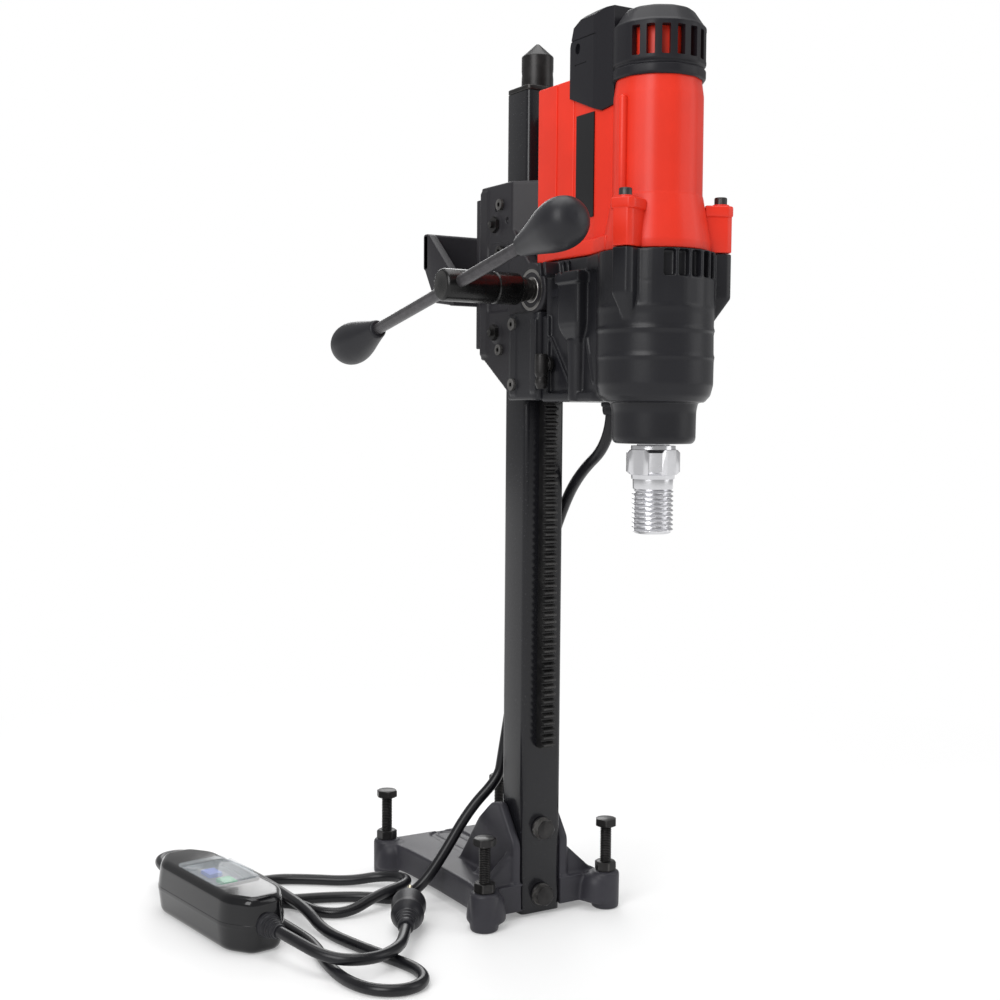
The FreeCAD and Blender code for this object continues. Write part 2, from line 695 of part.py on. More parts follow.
def carry_handle():
    outer = (handle_half - handle_arm, handle_half)
    plate_back = carriage_back + back_plate_thick
    bar = box("grip", (-handle_half, handle_half), (handle_back - handle_bar, handle_back),
              (handle_low, handle_high))
    bar = rounded("grip_round", bar, handle_bar * 0.42, along_x)
    arm_line = [(plate_back, handle_foot_low), (plate_back, handle_foot_high),
                (handle_back - handle_bar, handle_high - 2), (handle_back - 2, handle_high - 2),
                (handle_back - 2, handle_low + 2), (handle_back - 22, handle_foot_low + 4)]
    arms = [slab("arm", "YZ", arm_line, span) for span in both_sides(*outer)]
    foot = box("handle_foot", (-handle_half, handle_half), (plate_back, plate_back + handle_foot_thick),
               (handle_foot_low, handle_foot_high))
    holes = [rod("foot_hole", side_screw_radius, (plate_back - 1, plate_back + handle_foot_thick + 1),
                 (x, z), "Y") for x, z in handle_screw_places()]
    node("carry_handle", cut("handle_drilled", fuse("handle_solid", bar, *arms, foot), *holes))
    face = plate_back + handle_foot_thick
    screws = [fuse("handle_screw",
                   rod("handle_screw_stem", side_screw_radius, (carriage_back - 8, face), place, "Y"),
                   rod("handle_screw_head", cap_head_radius, (face, face + cap_head_high), place, "Y"))
              for place in handle_screw_places()]
    node("handle_screws", group("handle_screw_set", *screws))


def mount_block():
    plan = [(-bracket_half, -2), (-bracket_half + 2, 0), (bracket_half - 2, 0), (bracket_half, -2),
            (bracket_half, bracket_front), (-bracket_half, bracket_front)]
    block = slab("bracket", "XY", plan, (bracket_low, bracket_high))
    block = rounded("bracket_round", block, 8, lambda a, b: upright(a, b) and a.y < bracket_front.value + 1)
    way = slab("bracket_way", "XY", plan_of_carriage(), (bracket_low - 1, bracket_high + 1))
    feed_axis = (pinion_y, pinion_height)
    well = rod("bracket_well", pinion_tip + 1, (-pinion_half - 2, pinion_half + 2), feed_axis, "X")
    holes = [rod("bracket_hole", mount_screw_radius, span, (mount_screw_y, height), "X")
             for height in mount_screw_heights for span in both_sides(18, bracket_half + 1)]
    relief = []
    for span in both_sides(lug_half - lug_deep - gap, lug_half + gap):
        relief.append(rod("lug_relief", lug_radius + gap, span, feed_axis, "X"))
        relief.append(box("web_relief", span, (pinion_y, carriage_flank + 1),
                          (pinion_height - lug_radius - gap, bracket_high + 1)))
    node("mount_block", cut("bracket_cut", block, way, well, *holes, *relief))
    screws = [screw("mount_screw", sign, bracket_half, 25, mount_screw_radius, 5, (mount_screw_y, height))
              for height in mount_screw_heights for sign in (-1, 1)]
    node("mount_screws", group("mount_screw_set", *screws))


# ---------------------------------------------------------------- drill
idler_y = drill_y + gear_module * (gear_small + gear_large) / 2 + centre_play
lower_gear = (472, 484)
upper_gear = (514, 526)
plate_span = (532, 538)
axis_place = (0, drill_y)
front_lug_x = size("front_lug_offset_x", 44.6)
front_lug_y = drill_y - size("front_lug_offset_y", 21)
front_lugs = [(-front_lug_x, front_lug_y), (front_lug_x, front_lug_y)]
housing_screw_radius = size("housing_screw_radius", 3)
lug_round = size("screw_lug_radius", 7)
nose_bearing_radius = size("nose_bearing_radius", 23.5)
nose_bearing_high = size("nose_bearing_height", 12)
mouth_radius = nose_bearing_radius - 3
seal_thick = size("spindle_seal_thickness", 3)
floor_thick = size("gear_housing_floor", 5)
motor_bearing_radius = size("motor_bearing_radius", 13)
end_bearing_radius = size("motor_end_bearing_radius", 11)
idler_bearing_radius = size("idler_bearing_radius", 9.5)
vent_half = size("vent_half_width", 1.6)
vent_span = (size("vent_bottom", 546), size("vent_top", 561))
vent_step = size("vent_spacing", 8)
vent_places = [vent_step * (number - 2.5) for number in range(6)]
lug_taper_low = size("screw_lug_taper_bottom", 506)
lug_barrel_low = size("screw_lug_barrel_bottom", 525)
lug_high = size("screw_lug_top", 593)
cap_head_radius = size("socket_screw_head_radius", 5)
cap_head_high = size("socket_screw_head_height", 5)
rear_inner = rear_half - housing_wall
rear_join = drill_y + 25
cavity_back = rear_front_y - housing_wall * 2.2


def gear_housing():
    low = housing_low
    shell = turned("gear_shell", [
        (0, low), (39, low), (43, low + 7), (housing_radius - 0.6, low + 15), (housing_radius, 491),
        (housing_radius + 0.4, 518), (housing_radius, seam), (0, seam)], axis_place)
    rear = box("gear_rear", (-rear_half, rear_half), (drill_y, rear_front_y), (low + 2, seam))
    rear = rounded("gear_rear_round", rear, 6, upright)
    foot = box("gear_foot", (-rear_half, rear_half), (rear_front_y - 2, bracket_front),
               (bracket_low, bracket_high - 4))
    collar = turned("nose", [(0, nose_low), (nose_radius - 2.5, nose_low), (nose_radius, nose_low + 2.5),
                             (nose_radius, low - 2), (nose_radius + 2.4, low + 1), (0, low + 1)], axis_place)
    lugs = [fuse("gear_lug", rod("lug_barrel", lug_round, (lug_barrel_low, seam), place),
                 cone("lug_taper", (1, lug_round), (lug_taper_low, lug_barrel_low), place))
            for place in front_lugs]
    solid = fuse("gear_solid", shell, rear, foot, collar, *lugs)
    floor = low + floor_thick
    inner_radius = housing_radius - housing_wall
    cavity = fuse("gear_cavity", rod("cavity_round", inner_radius, (floor, seam + 1), axis_place),
                  box("cavity_rear", (-rear_inner, rear_inner), (rear_join, cavity_back), (floor, seam + 1)))
    nose_bore = rod("nose_bore", nose_bearing_radius, (nose_low + seal_thick, floor + 1), axis_place)
    mouth = rod("nose_mouth", mouth_radius, (nose_low - 1, nose_low + seal_thick + 1), axis_place)
    screws = [rod("lug_hole", housing_screw_radius, (lug_barrel_low + 5, seam + 1), place)
              for place in front_lugs]
    vents = [box("vent", (x - vent_half, x + vent_half), (drill_y - 60, drill_y - 30), vent_span)
             for x in vent_places]
    relief = rod("feed_relief", lug_radius + gap, (-rear_half - 1, rear_half + 1),
                 (pinion_y, pinion_height), "X")
    node("gear_housing", cut("gear_case", solid, cavity, nose_bore, mouth, relief, *screws, *vents))

    plate = fuse("plate_blank", rod("plate_round", inner_radius, plate_span, axis_place),
                 box("plate_rear", (-rear_inner, rear_inner), (rear_join, cavity_back), plate_span))
    through = (plate_span[0] - 1, plate_span[1] + 1)
    bores = [rod("motor_bearing_seat", motor_bearing_radius, through, axis_place),
             rod("idler_bearing_seat", idler_bearing_radius, through, (0, idler_y))]
    node("gear_plate", cut("gear_plate_cut", plate, *bores))
    spindle_hole = spindle_radius + fit
    shaft_hole = shaft_radius + fit
    nose_floor = nose_low + seal_thick
    rings = [ring("nose_bearing_low", spindle_hole, nose_bearing_radius,
                  (nose_floor, nose_floor + nose_bearing_high)),
             ring("nose_bearing_high", spindle_hole, nose_bearing_radius,
                  (low + 3 - nose_bearing_high, low + 3)),
             ring("motor_bearing_low", shaft_hole, motor_bearing_radius, through),
             ring("motor_bearing_high", shaft_hole, end_bearing_radius, (motor_top - 2, motor_top + 5)),
             ring("idler_bearing_high", shaft_hole, idler_bearing_radius, plate_span, idler_y),
             ring("idler_bearing_low", shaft_hole, idler_bearing_radius, (floor, floor + 5), idler_y)]
    node("gearbox_bearings", group("bearings", *rings))
    node("spindle_seal", ring("seal", spindle_radius + fit * 2, mouth_radius, (nose_low + 0.3, nose_floor)))


def ring(name, inner, outer, span, centre_y=None):
    centre = (0, drill_y if centre_y is None else centre_y)
    return cut(name, rod(name + "_outer", outer, span, centre),
               rod(name + "_inner", inner, (span[0] - dim(1), span[1] + dim(1)), centre))


label_thick = size("nameplate_thickness", 0.8)
core_radius = size("armature_core_radius", 22.4)
core_span = (size("armature_core_bottom", 602), size("armature_core_top", 648))
air_gap = size("motor_air_gap", 0.8)
stator_span = (size("stator_bottom", 600), size("stator_top", 650))
commutator_radius = size("commutator_radius", 13)
commutator_span = (size("commutator_bottom", 664), size("commutator_top", 684))
brush_span = (size("brush_bottom", 668), size("brush_top", 680))
fan_low = size("fan_bottom", 577.5)
fan_high = size("fan_top", 590)
fan_disc_thick = size("fan_disc_thickness", 2.5)
fan_radius = size("fan_radius", 28.5)
fan_hub_radius = size("fan_hub_radius", 12)
blade_half = size("fan_blade_half_thickness", 0.9)
fan_blades = 9
cap_slots = 9


def motor():
    wall = motor_wall
    bell = turned("bell", [
        (0, seam), (motor_flare, seam), (motor_flare - 0.6, seam + 8), (motor_radius + 0.9, seam + 34),
        (motor_radius, seam + 60), (motor_radius - 1, motor_top), (0, motor_top)], axis_place)
    block_line = [(-block_half + 4, block_back), (-block_half, block_back - 4), (-block_half, drill_y + 40),
                  (-24, drill_y + 20), (24, drill_y + 20), (block_half, drill_y + 40),
                  (block_half, block_back - 4), (block_half - 4, block_back)]
    block = slab("rear_block", "XY", block_line, (seam, block_top))
    flange = box("rear_flange", (-rear_half, rear_half), (drill_y + 10, rear_front_y + 6), (seam, seam + 12))
    lugs = [rod("motor_lug", lug_round, (seam, lug_high), place) for place in front_lugs]
    notch = box("cover_notch", (-block_half - 1, block_half + 1), (drill_y, drill_y + 80),
                (motor_top - 4, block_top + 1))
    bore = fuse("motor_bores", rod("motor_bore", motor_radius - wall, (seam - 1, motor_top - 4), axis_place),
                box("block_bore", (-block_half + wall, block_half - wall), (drill_y + 35, block_back - wall),
                    (seam - 1, motor_top - 8)),
                rod("shaft_hole", end_bearing_radius, (motor_top - 6, motor_top + 1), axis_place))
    holes = [rod("motor_lug_hole", housing_screw_radius, (seam - 1, lug_high + 1), place)
             for place in front_lugs]
    shell = cut("motor_shell", fuse("motor_solid", bell, block, flange, *lugs), notch, bore, *holes)
    hub = ring("end_hub", end_bearing_radius, end_bearing_radius + 2.5, (motor_top - 4, motor_top + 5))
    node("motor_housing", fuse("motor_case", shell, hub))
    screws = [fuse("housing_screw",
                   rod("housing_stem", housing_screw_radius, (lug_barrel_low + 6, lug_high), place),
                   rod("housing_head", cap_head_radius, (lug_high, lug_high + 7), place))
              for place in front_lugs]
    node("housing_screws", group("housing_screw_set", *screws))

    cap_low = motor_top
    dome = turned("cap_dome", [
        (0, cap_low), (cap_radius, cap_low), (cap_radius - 1.4, cap_low + 14),
        (cap_radius - 1.6, cap_top - 12), (cap_radius - 8, cap_top - 6), (cap_radius - 12, cap_top),
        (0, cap_top)], axis_place)
    inside = rod("cap_room", cap_radius - 4, (cap_low - 1, cap_top - 9), axis_place)
    slots = []
    for step in range(cap_slots):
        slot = box("cap_slot", (cap_radius - 9, cap_radius + 5), (-2.2, 2.2), (cap_low + 10, cap_low + 34))
        turn = Rotation(Vector(0, 0, 1), 180 + 22.5 * step)
        slots.append(slot_at(slot, turn))
    keep = box("cap_keep", (-50, 50), (drill_y - 50, drill_y + 24), (cap_low - 1, cap_top + 1))
    cap = cut("cap_shell", dome, inside, *slots)
    trimmed = doc.addObject("Part::Common", "cap_trim")
    trimmed.Base = cap
    trimmed.Tool = keep
    node("vent_cap", trimmed)
    cover_line = [(drill_y + 24.5, cap_low - 4), (drill_y + 24.5, cap_top), (drill_y + 52, cap_top - 3),
                  (drill_y + 66, cap_top - 12), (drill_y + 74, cap_top - 30), (drill_y + 77, cap_low - 4)]
    cover = slab("cover_slab", "YZ", cover_line, (-block_half - 0.5, block_half + 0.5))
    room = box("cover_room", (3 - block_half, block_half - 3), (drill_y + 24, drill_y + 60),
               (cap_low - 5, cap_top - 15))
    node("rear_cover", cut("cover_shell", cover, room))
    node("nameplate", box("label_plate", (-block_half - label_thick, -block_half),
                          (drill_y + 42, drill_y + 66), (seam + 26, motor_top - 20)))

    node("field_stator", ring("stator", core_radius + air_gap, motor_radius - wall, stator_span))
    brushes = [box("brush_box", span, (drill_y - 5, drill_y + 5), brush_span)
               for span in both_sides(commutator_radius + gap, motor_radius - wall - 0.8)]
    node("brush_holders", group("brush_pair", *brushes))
    turn = math.radians(90)
    pinion = spur_gear(gear_small, (upper_gear[0], dim(upper_gear[1])), turn, drill_y)
    low_end = upper_gear[0]
    shaft_long = motor_top.value + 4.5 - low_end
    shaft = Part.makeCylinder(shaft_radius.value, shaft_long, Vector(0, drill_y.value, low_end))
    shape_node("armature_shaft", shaft.fuse(pinion).removeSplitter())
    node("armature_core", ring("core", shaft_radius, core_radius, core_span))
    node("commutator", ring("copper", shaft_radius, commutator_radius, commutator_span))
    hub_ring = ring("fan_hub", shaft_radius, fan_hub_radius, (fan_low + 0.5, fan_high))
    blades = []
    for step in range(fan_blades):
        blade = box("fan_blade", (fan_hub_radius - 0.5, fan_radius - 0.5), (-blade_half, blade_half),
                    (fan_low + fan_disc_thick, fan_high))
        blades.append(slot_at(blade, Rotation(Vector(0, 0, 1), 360 / fan_blades * step)))
    disc = ring("fan_disc", fan_hub_radius - 0.5, fan_radius, (fan_low, fan_low + fan_disc_thick))
    node("cooling_fan", fuse("fan", hub_ring, disc, *blades))


def slot_at(piece, turn):
    """A copy of a radial piece turned about the drill axis."""
    link = doc.addObject("Part::Compound", piece.Name + "_turned")
    link.Links = [piece]
    return put(link, 0, drill_y, 0, turn)


water_bore = size("spindle_water_bore_radius", 4)
flat_half = size("spindle_flat_half_width", 17.6)
flat_turn = size("spindle_flat_turn", 14)


def spindle():
    half_step = math.pi / gear_large.value
    idler = Part.makeCylinder(shaft_radius.value, 538.0 - (housing_low.value + 5),
                              Vector(0, idler_y.value, housing_low.value + 5))
    wheel = spur_gear(gear_large, upper_gear, math.radians(-90) + half_step, idler_y)
    pinion = spur_gear(gear_small, (lower_gear[0] - 1, lower_gear[1] + 1), math.radians(-90), idler_y)
    shape_node("idler_shaft", idler.fuse([wheel, pinion]).removeSplitter())
    body = turned("spindle_body", [
        (water_bore, spindle_tip), (thread_radius - 2, spindle_tip), (thread_radius, spindle_tip + 2),
        (thread_radius, spindle_flange_low - 3), (16.6, spindle_flange_low - 3), (16.6, spindle_flange_low),
        (spindle_flange, spindle_flange_low), (spindle_flange, nose_low - 1.5),
        (spindle_radius, nose_low - 1.5), (spindle_radius, 490), (water_bore, 490)], axis_place)
    flats = []
    for step in range(4):
        block = box("flat_cut", (flat_half, 30), (-30, 30), (spindle_flange_low + 1.5, nose_low - 2))
        flats.append(slot_at(block, Rotation(Vector(0, 0, 1), flat_turn.value + 90 * step)))
    node("spindle", cut("spindle_cut", body, *flats))
    gear = spur_gear(gear_large, lower_gear, math.radians(90) + half_step, drill_y)
    bore = Part.makeCylinder(spindle_radius.value, 40, Vector(0, drill_y.value, 460))
    shape_node("spindle_gear", gear.cut(bore))


cord_exit = (size("cord_exit_x", 25), size("cord_exit_y", -62))
gland_low = size("cord_gland_bottom", 437)
gland_radius = size("cord_gland_radius", 7.5)
gland_seat = size("cord_gland_seat_depth", 6)
fitting_radius = size("hose_fitting_radius", 5)
fitting_out = size("hose_fitting_offset", 7)
fitting_span = (size("hose_fitting_bottom", 458), size("hose_fitting_top", 486))


def fittings():
    neck_x = -rear_half - fitting_out
    neck = rod("fitting_neck", fitting_radius - 1, (neck_x, -rear_half), (rear_front_y - 10, 480), "X")
    drop = rod("fitting_drop", fitting_radius, fitting_span, (neck_x, rear_front_y - 10))
    node("hose_fitting", fuse("fitting", neck, drop))
    barrel = rod("gland_barrel", gland_radius, (gland_low, housing_low + 2), cord_exit)
    bore = rod("gland_bore", cord_radius, (gland_low - 1, gland_low + gland_seat), cord_exit)
    node("cord_gland", cut("gland_cut", barrel, bore))


# ---------------------------------------------------------------- feed crank
def feed():
    centre = (pinion_y, pinion_height)
    shaft_end = lug_half + 4
    node("feed_shaft", rod("feed_rod_shaft", feed_radius, (hub_start - 30, shaft_end), centre, "X"))
    face = gear_face(int(pinion_teeth.value), rack_module.value, 1.0, 0.16, 0, (0, 0))
    gear = face.extrude(Vector(0, 0, 2 * pinion_half.value))
    gear = gear.cut(Part.makeCylinder(feed_radius.value, 40, Vector(0, 0, -10)))
    gear.Placement = Placement(Vector(-pinion_half.value, pinion_y.value, pinion_height.value),
                               Rotation(Vector(1, 1, 1), 120))
    shape_node("feed_pinion", gear)
    bearings = []
    for span in both_sides(lug_half - feed_bearing_wide, lug_half - 0.5):
        hole = rod("feed_bearing_hole", feed_radius + fit, (span[0] - 1, span[1] + 1), centre, "X")
        outer = rod("feed_bearing_ring", feed_bearing_radius, span, centre, "X")
        bearings.append(cut("feed_bearing", outer, hole))
    node("feed_bearings", group("feed_bearing_pair", *bearings))
    hub = rod("hub_blank", hub_radius, (hub_end, hub_start), centre, "X")
    bore = rod("hub_bore", feed_radius, (hub_start - 30, hub_start + 1), centre, "X")
    tilt = Rotation(Vector(1, 0, 0), 90 - crank_turn.value)
    through = crank_rod("crank_hole", (-30, 30), tilt)
    node("feed_hub", cut("hub_cut", hub, bore, through))
    node("crank_rod", crank_rod("crank_bar", (30 - crank_rear, crank_front - 30), tilt))
    knobs = []
    for sign, reach in ((1, crank_front), (-1, crank_rear)):
        start = reach - 56
        profile = [(crank_rod_radius, 26), (crank_rod_radius, 0), (8.5, 0), (14, 24), (17.6, 40),
                   (knob_radius + 1, 54), (17.5, 65), (12, 72), (5, 74.8), (0, 75), (0, 26)]
        turn = Rotation(Vector(1, 0, 0), 90 - crank_turn.value if sign > 0 else -90 - crank_turn.value)
        away = turn.multVec(Vector(0, 0, 1))
        knob = turned("knob", profile)
        knob.Placement = Placement(Vector(), turn)
        bind(knob, "Placement.Base.x", crank_plane)
        bind(knob, "Placement.Base.y", pinion_y + start * away.y)
        bind(knob, "Placement.Base.z", pinion_height + start * away.z)
        knobs.append(knob)
    node("crank_knobs", group("knob_pair", *knobs))


def crank_rod(name, span, tilt):
    """A bar through the hub in the crank's plane; positive along the bar points to the drill side."""
    away = tilt.multVec(Vector(0, 0, 1))
    piece = doc.addObject("Part::Cylinder", name)
    bind(piece, "Radius", crank_rod_radius)
    bind(piece, "Height", span[1] - dim(span[0]))
    low = dim(span[0])
    return put(piece, crank_plane, pinion_y + low * away.y, pinion_height + low * away.z, tilt)


# ---------------------------------------------------------------- switch box and plug
box_end = size("switch_box_end_half_width", 15)
box_taper = size("switch_box_end_taper", 22)
box_wall = size("switch_box_wall", 4)
box_foot = size("switch_box_bottom", 0.3)
button_apart = size("button_spacing", 28)
button_places = (-button_apart / 2, button_apart / 2)
button_half_x = size("button_half_length", 8)
button_half_y = size("button_half_width", 6)
button_deep = size("button_bottom_below_top", 12)
button_sunk = size("button_top_below_top", 3)
panel_half_x = size("panel_half_length", 32)
panel_half_y = size("panel_half_width", 19)
panel_deep = size("panel_depth", 6)
box_gland_radius = size("switch_gland_radius", 9)
box_gland_long = size("switch_gland_length", 20)
cord_seat = size("cord_seat_depth", 6)
flap_thick = size("flap_thickness", 2)
flap_half_x = size("flap_half_length", 34)
flap_half_y = size("flap_half_width", 20)
flap_pin_radius = size("flap_pin_radius", 1.6)
relief_long = size("plug_relief_length", 24)
grip_end = size("plug_grip_end", 58)
blade_start = size("plug_blade_start", 48)
blade_end = size("plug_blade_end", 75)
blade_apart = size("plug_blade_spacing", 12.7)
blade_thick = size("plug_blade_thickness", 1.6)
blade_wide = size("plug_blade_width", 6.4)
earth_radius = size("plug_earth_radius", 2.4)
earth_end = size("plug_earth_end", 78)
earth_out = size("plug_earth_offset", 8)


def in_box(name, thing):
    """Move a finished piece from the switch box's own frame to its place on the floor."""
    return node(name, put(thing, box_x, box_y, 0, Rotation(Vector(0, 0, 1), box_turn.value)))


def switch_box():
    shoulder = box_half - box_taper
    plan = [(-box_half, -box_end), (-shoulder, -box_wide), (shoulder, -box_wide), (box_half, -box_end),
            (box_half, box_end), (shoulder, box_wide), (-shoulder, box_wide), (-box_half, box_end)]
    inside = [(box_wall - shoulder, shoulder - box_wall), (box_wall - box_wide, box_wide - box_wall)]
    lower = slab("case_low", "XY", plan, (box_foot, box_split))
    room = box("case_low_room", *inside, (box_wall, box_split + 1))
    in_box("switch_case_lower", cut("case_lower", lower, room))
    upper = slab("case_high", "XY", plan, (box_split, box_high))
    upper_room = box("case_high_room", *inside, (box_split - 1, box_high - panel_deep - box_wall))
    well = box("panel_well", (-panel_half_x, panel_half_x), (-panel_half_y, panel_half_y),
               (box_high - panel_deep, box_high + 1))
    holes = [box("button_hole", (x - button_half_x - gap, x + button_half_x + gap),
                 (-button_half_y - gap, button_half_y + gap), (box_split, box_high)) for x in button_places]
    in_box("switch_case_upper", cut("case_upper", upper, upper_room, well, *holes))
    glands = []
    for span in both_sides(box_half, box_half + box_gland_long):
        outer = span[1] if span[1].value > 0 else span[0]
        hole = sorted((outer, outer * (1 - cord_seat / (box_half + box_gland_long))), key=lambda d: d.value)
        glands.append(cut("gland", rod("gland_solid", box_gland_radius, span, (0, gland_high), "X"),
                          rod("gland_hole", cord_radius, hole, (0, gland_high), "X")))
    in_box("switch_glands", group("gland_pair", *glands))
    for name, x in zip(("test_button", "reset_button"), button_places):
        block = box(name + "_block", (x - button_half_x, x + button_half_x), (-button_half_y, button_half_y),
                    (box_high - button_deep, box_high - button_sunk))
        in_box(name, group(name + "_piece", block))
    flap_low = box_high + box_foot
    flap = box("flap_sheet", (-flap_half_x, flap_half_x), (-flap_half_y, flap_half_y),
               (flap_low, flap_low + flap_thick))
    barrel = rod("flap_barrel", flap_pin_radius, (-flap_half_y, flap_half_y),
                 (flap_half_y + gap, flap_low + flap_pin_radius), "X")
    in_box("switch_flap", fuse("flap_solid", flap, barrel))


def plug():
    turn = Rotation(Vector(0, 0, 1), plug_turn.value)

    def in_plug(name, thing):
        return node(name, put(thing, plug_x, plug_y, plug_high, turn))

    relief = cone("relief", (6.2, 10), (0, relief_long), (0, 0), "X")
    grip = rod("plug_grip", plug_radius, (relief_long, grip_end), (0, 0), "X")
    bore = rod("plug_bore", cord_radius, (-1, cord_seat + 2), (0, 0), "X")

    def pins(word, ends, earth_stop):
        pair = [box(word + "_blade", ends, (y - blade_thick / 2, y + blade_thick / 2),
                    (-blade_wide / 2, blade_wide / 2)) for y in (-blade_apart / 2, blade_apart / 2)]
        return pair + [rod(word + "_earth", earth_radius, (blade_start, earth_stop), (0, earth_out), "X")]

    sockets = pins("seat", (blade_start, grip_end + 1), grip_end + 1)
    in_plug("plug_body", cut("plug_cut", fuse("plug_solid", relief, grip), bore, *sockets))
    in_plug("plug_blades", group("blade_set", *pins("pin", (blade_start, blade_end), earth_end)))


# ---------------------------------------------------------------- cords
def cord_tube(name, points, radius):
    """A tube of straight runs joined by tangent arcs; prints the bend radii and checks the volume."""
    corners = [Vector(*(dim(c).value for c in p)) for p in points]
    edges = []
    radii = []
    length = 0
    start = corners[0]
    for before, corner, after in zip(corners, corners[1:], corners[2:]):
        inward = (corner - before).normalize()
        outward = (after - corner).normalize()
        turn = inward.getAngle(outward)
        reach = 0.45 * min((corner - before).Length, (after - corner).Length)
        bend = reach / math.tan(turn / 2)
        leaving = corner - inward * reach
        joining = corner + outward * reach
        crown = corner + (outward - inward).normalize() * (bend / math.cos(turn / 2) - bend)
        edges.append(Part.LineSegment(start, leaving).toShape())
        edges.append(Part.Arc(leaving, crown, joining).toShape())
        length += (leaving - start).Length + bend * turn
        radii.append(bend)
        start = joining
    edges.append(Part.LineSegment(start, corners[-1]).toShape())
    length += (corners[-1] - start).Length
    path = Part.Wire(edges)
    direction = (corners[1] - corners[0]).normalize()
    ring_wire = Part.Wire(Part.makeCircle(radius.value, corners[0], direction))
    tube = path.makePipeShell([ring_wire], True, False)
    expected = math.pi * radius.value ** 2 * length
    ratio = tube.Volume / expected
    print(f"{name}: length {length:.0f}, tightest bend {min(radii):.0f}, volume ratio {ratio:.4f}")
    return shape_node(name, tube)


box_along = Vector(math.cos(math.radians(box_turn.value)), math.sin(math.radians(box_turn.value)), 0)
plug_along = Vector(math.cos(math.radians(plug_turn.value)), math.sin(math.radians(plug_turn.value)), 0)


def beside_box(along):
    """A point on the switch box's long axis at gland height."""
    return (box_x + along * box_along.x, box_y + along * box_along.y, gland_high)


def cords():
    exit_x, exit_y = cord_exit
    hand_over = (-3, 62, 128)
    cord_tube("cord_upper", [
        (exit_x, exit_y, gland_low + gland_seat), (exit_x, exit_y, 415), (28, -8, 385), (32, 26, 346),
        (30, 52, 290), (14, 63, 220), hand_over], cord_radius)
    top = lead_height
    cord_tube("cord_floor", [
        hand_over, (-6.4, 61.8, 109.6), (-34, 68, 82), (-62, 66, 44), (-84, 64, 21), (-98, 80, 6),
        (-114, 104, floor_rest),
        (-142, 120, floor_rest), (-172, 130, floor_rest), (-202, 138, floor_rest), (-212, 164, floor_rest),
        (-200, 188, floor_rest), (-172, 196, floor_rest), (-142, 178, floor_rest), (-112, 154, floor_rest),
        (-84, 142, 9), (-71, 116, 12), (-86, 92, top), (-120, 79, top), (-150, 74, floor_rest),
        (-172, 88, floor_rest), (-176, 112, floor_rest), (-188, 130, floor_rest), (-206, 127, floor_rest),
        (-213, 104, floor_rest), (-209, 66, floor_rest), (-206, 20, floor_rest), (-215, -20, floor_rest),
        (-218, -60, floor_rest), (-209, -90, floor_rest), (-187, -104, floor_rest), (-165, -96, floor_rest),
        (-158, -72, floor_rest), (-165, -44, floor_rest),
        (-178, 0, floor_rest), (-187, 44, floor_rest), (-189, 76, top), (-190, 120, top), (-192, 160, top),
        (-197, 200, top), (-212, 238, 18), (-240, 256, 24), beside_box(-130), beside_box(-97)],
        cord_radius)
    cord_tube("cord_lead", [
        beside_box(97), beside_box(116), (-222, -44, top + 1), (-192, -58, top), (-162, -46, top),
        (plug_x - 12 * plug_along.x, plug_y - 12 * plug_along.y, plug_high),
        (plug_x + 7 * plug_along.x, plug_y + 7 * plug_along.y, plug_high)], cord_radius)


base_plate()
column()
levelling_bolts()
rack_bar()
carriage()
carry_handle()
mount_block()
gear_housing()
motor()
spindle()
fittings()
feed()
switch_box()
plug()
cords()
doc.recompute()

for thing in doc.Objects:
    if "Invalid" in thing.State or "Error" in thing.State:
        raise RuntimeError(f"{thing.Name} is {thing.State}")
for name, thing in nodes.items():
    if thing.Shape.isNull() or not thing.Shape.isValid():
        raise RuntimeError(f"{name} has no valid shape")
    thing.Shape.exportStep(f"parts/{name}.step")
print(len(nodes), "nodes")
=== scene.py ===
import json
import math

import bmesh
import bpy
import numpy as np
from mathutils import Matrix, Vector


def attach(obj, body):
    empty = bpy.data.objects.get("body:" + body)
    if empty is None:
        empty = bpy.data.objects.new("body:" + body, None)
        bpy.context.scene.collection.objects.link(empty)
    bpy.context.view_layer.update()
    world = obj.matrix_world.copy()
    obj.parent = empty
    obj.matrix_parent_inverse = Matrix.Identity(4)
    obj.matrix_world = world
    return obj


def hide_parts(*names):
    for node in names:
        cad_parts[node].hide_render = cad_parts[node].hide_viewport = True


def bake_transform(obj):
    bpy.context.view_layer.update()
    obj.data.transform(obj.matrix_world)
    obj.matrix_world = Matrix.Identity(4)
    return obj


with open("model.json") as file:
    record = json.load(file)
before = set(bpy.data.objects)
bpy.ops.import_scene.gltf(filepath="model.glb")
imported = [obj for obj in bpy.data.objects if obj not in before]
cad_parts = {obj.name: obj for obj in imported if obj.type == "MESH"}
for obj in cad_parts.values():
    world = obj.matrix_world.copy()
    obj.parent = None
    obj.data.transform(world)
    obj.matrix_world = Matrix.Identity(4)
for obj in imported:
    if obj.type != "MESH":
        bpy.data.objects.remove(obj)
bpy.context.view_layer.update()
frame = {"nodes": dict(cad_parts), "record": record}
mm = 0.001
print("stage: frame loaded")

# camera, floor and light
camera = {"place": (-0.6822, -1.05805, 0.43466), "yaw": 31.08, "pitch": 4.14, "roll": -0.43,
          "lens": 52.81, "shiftY": 0.0236}
studio = {"world": 0.42, "floorTone": 0.93, "floorSize": 9.0}


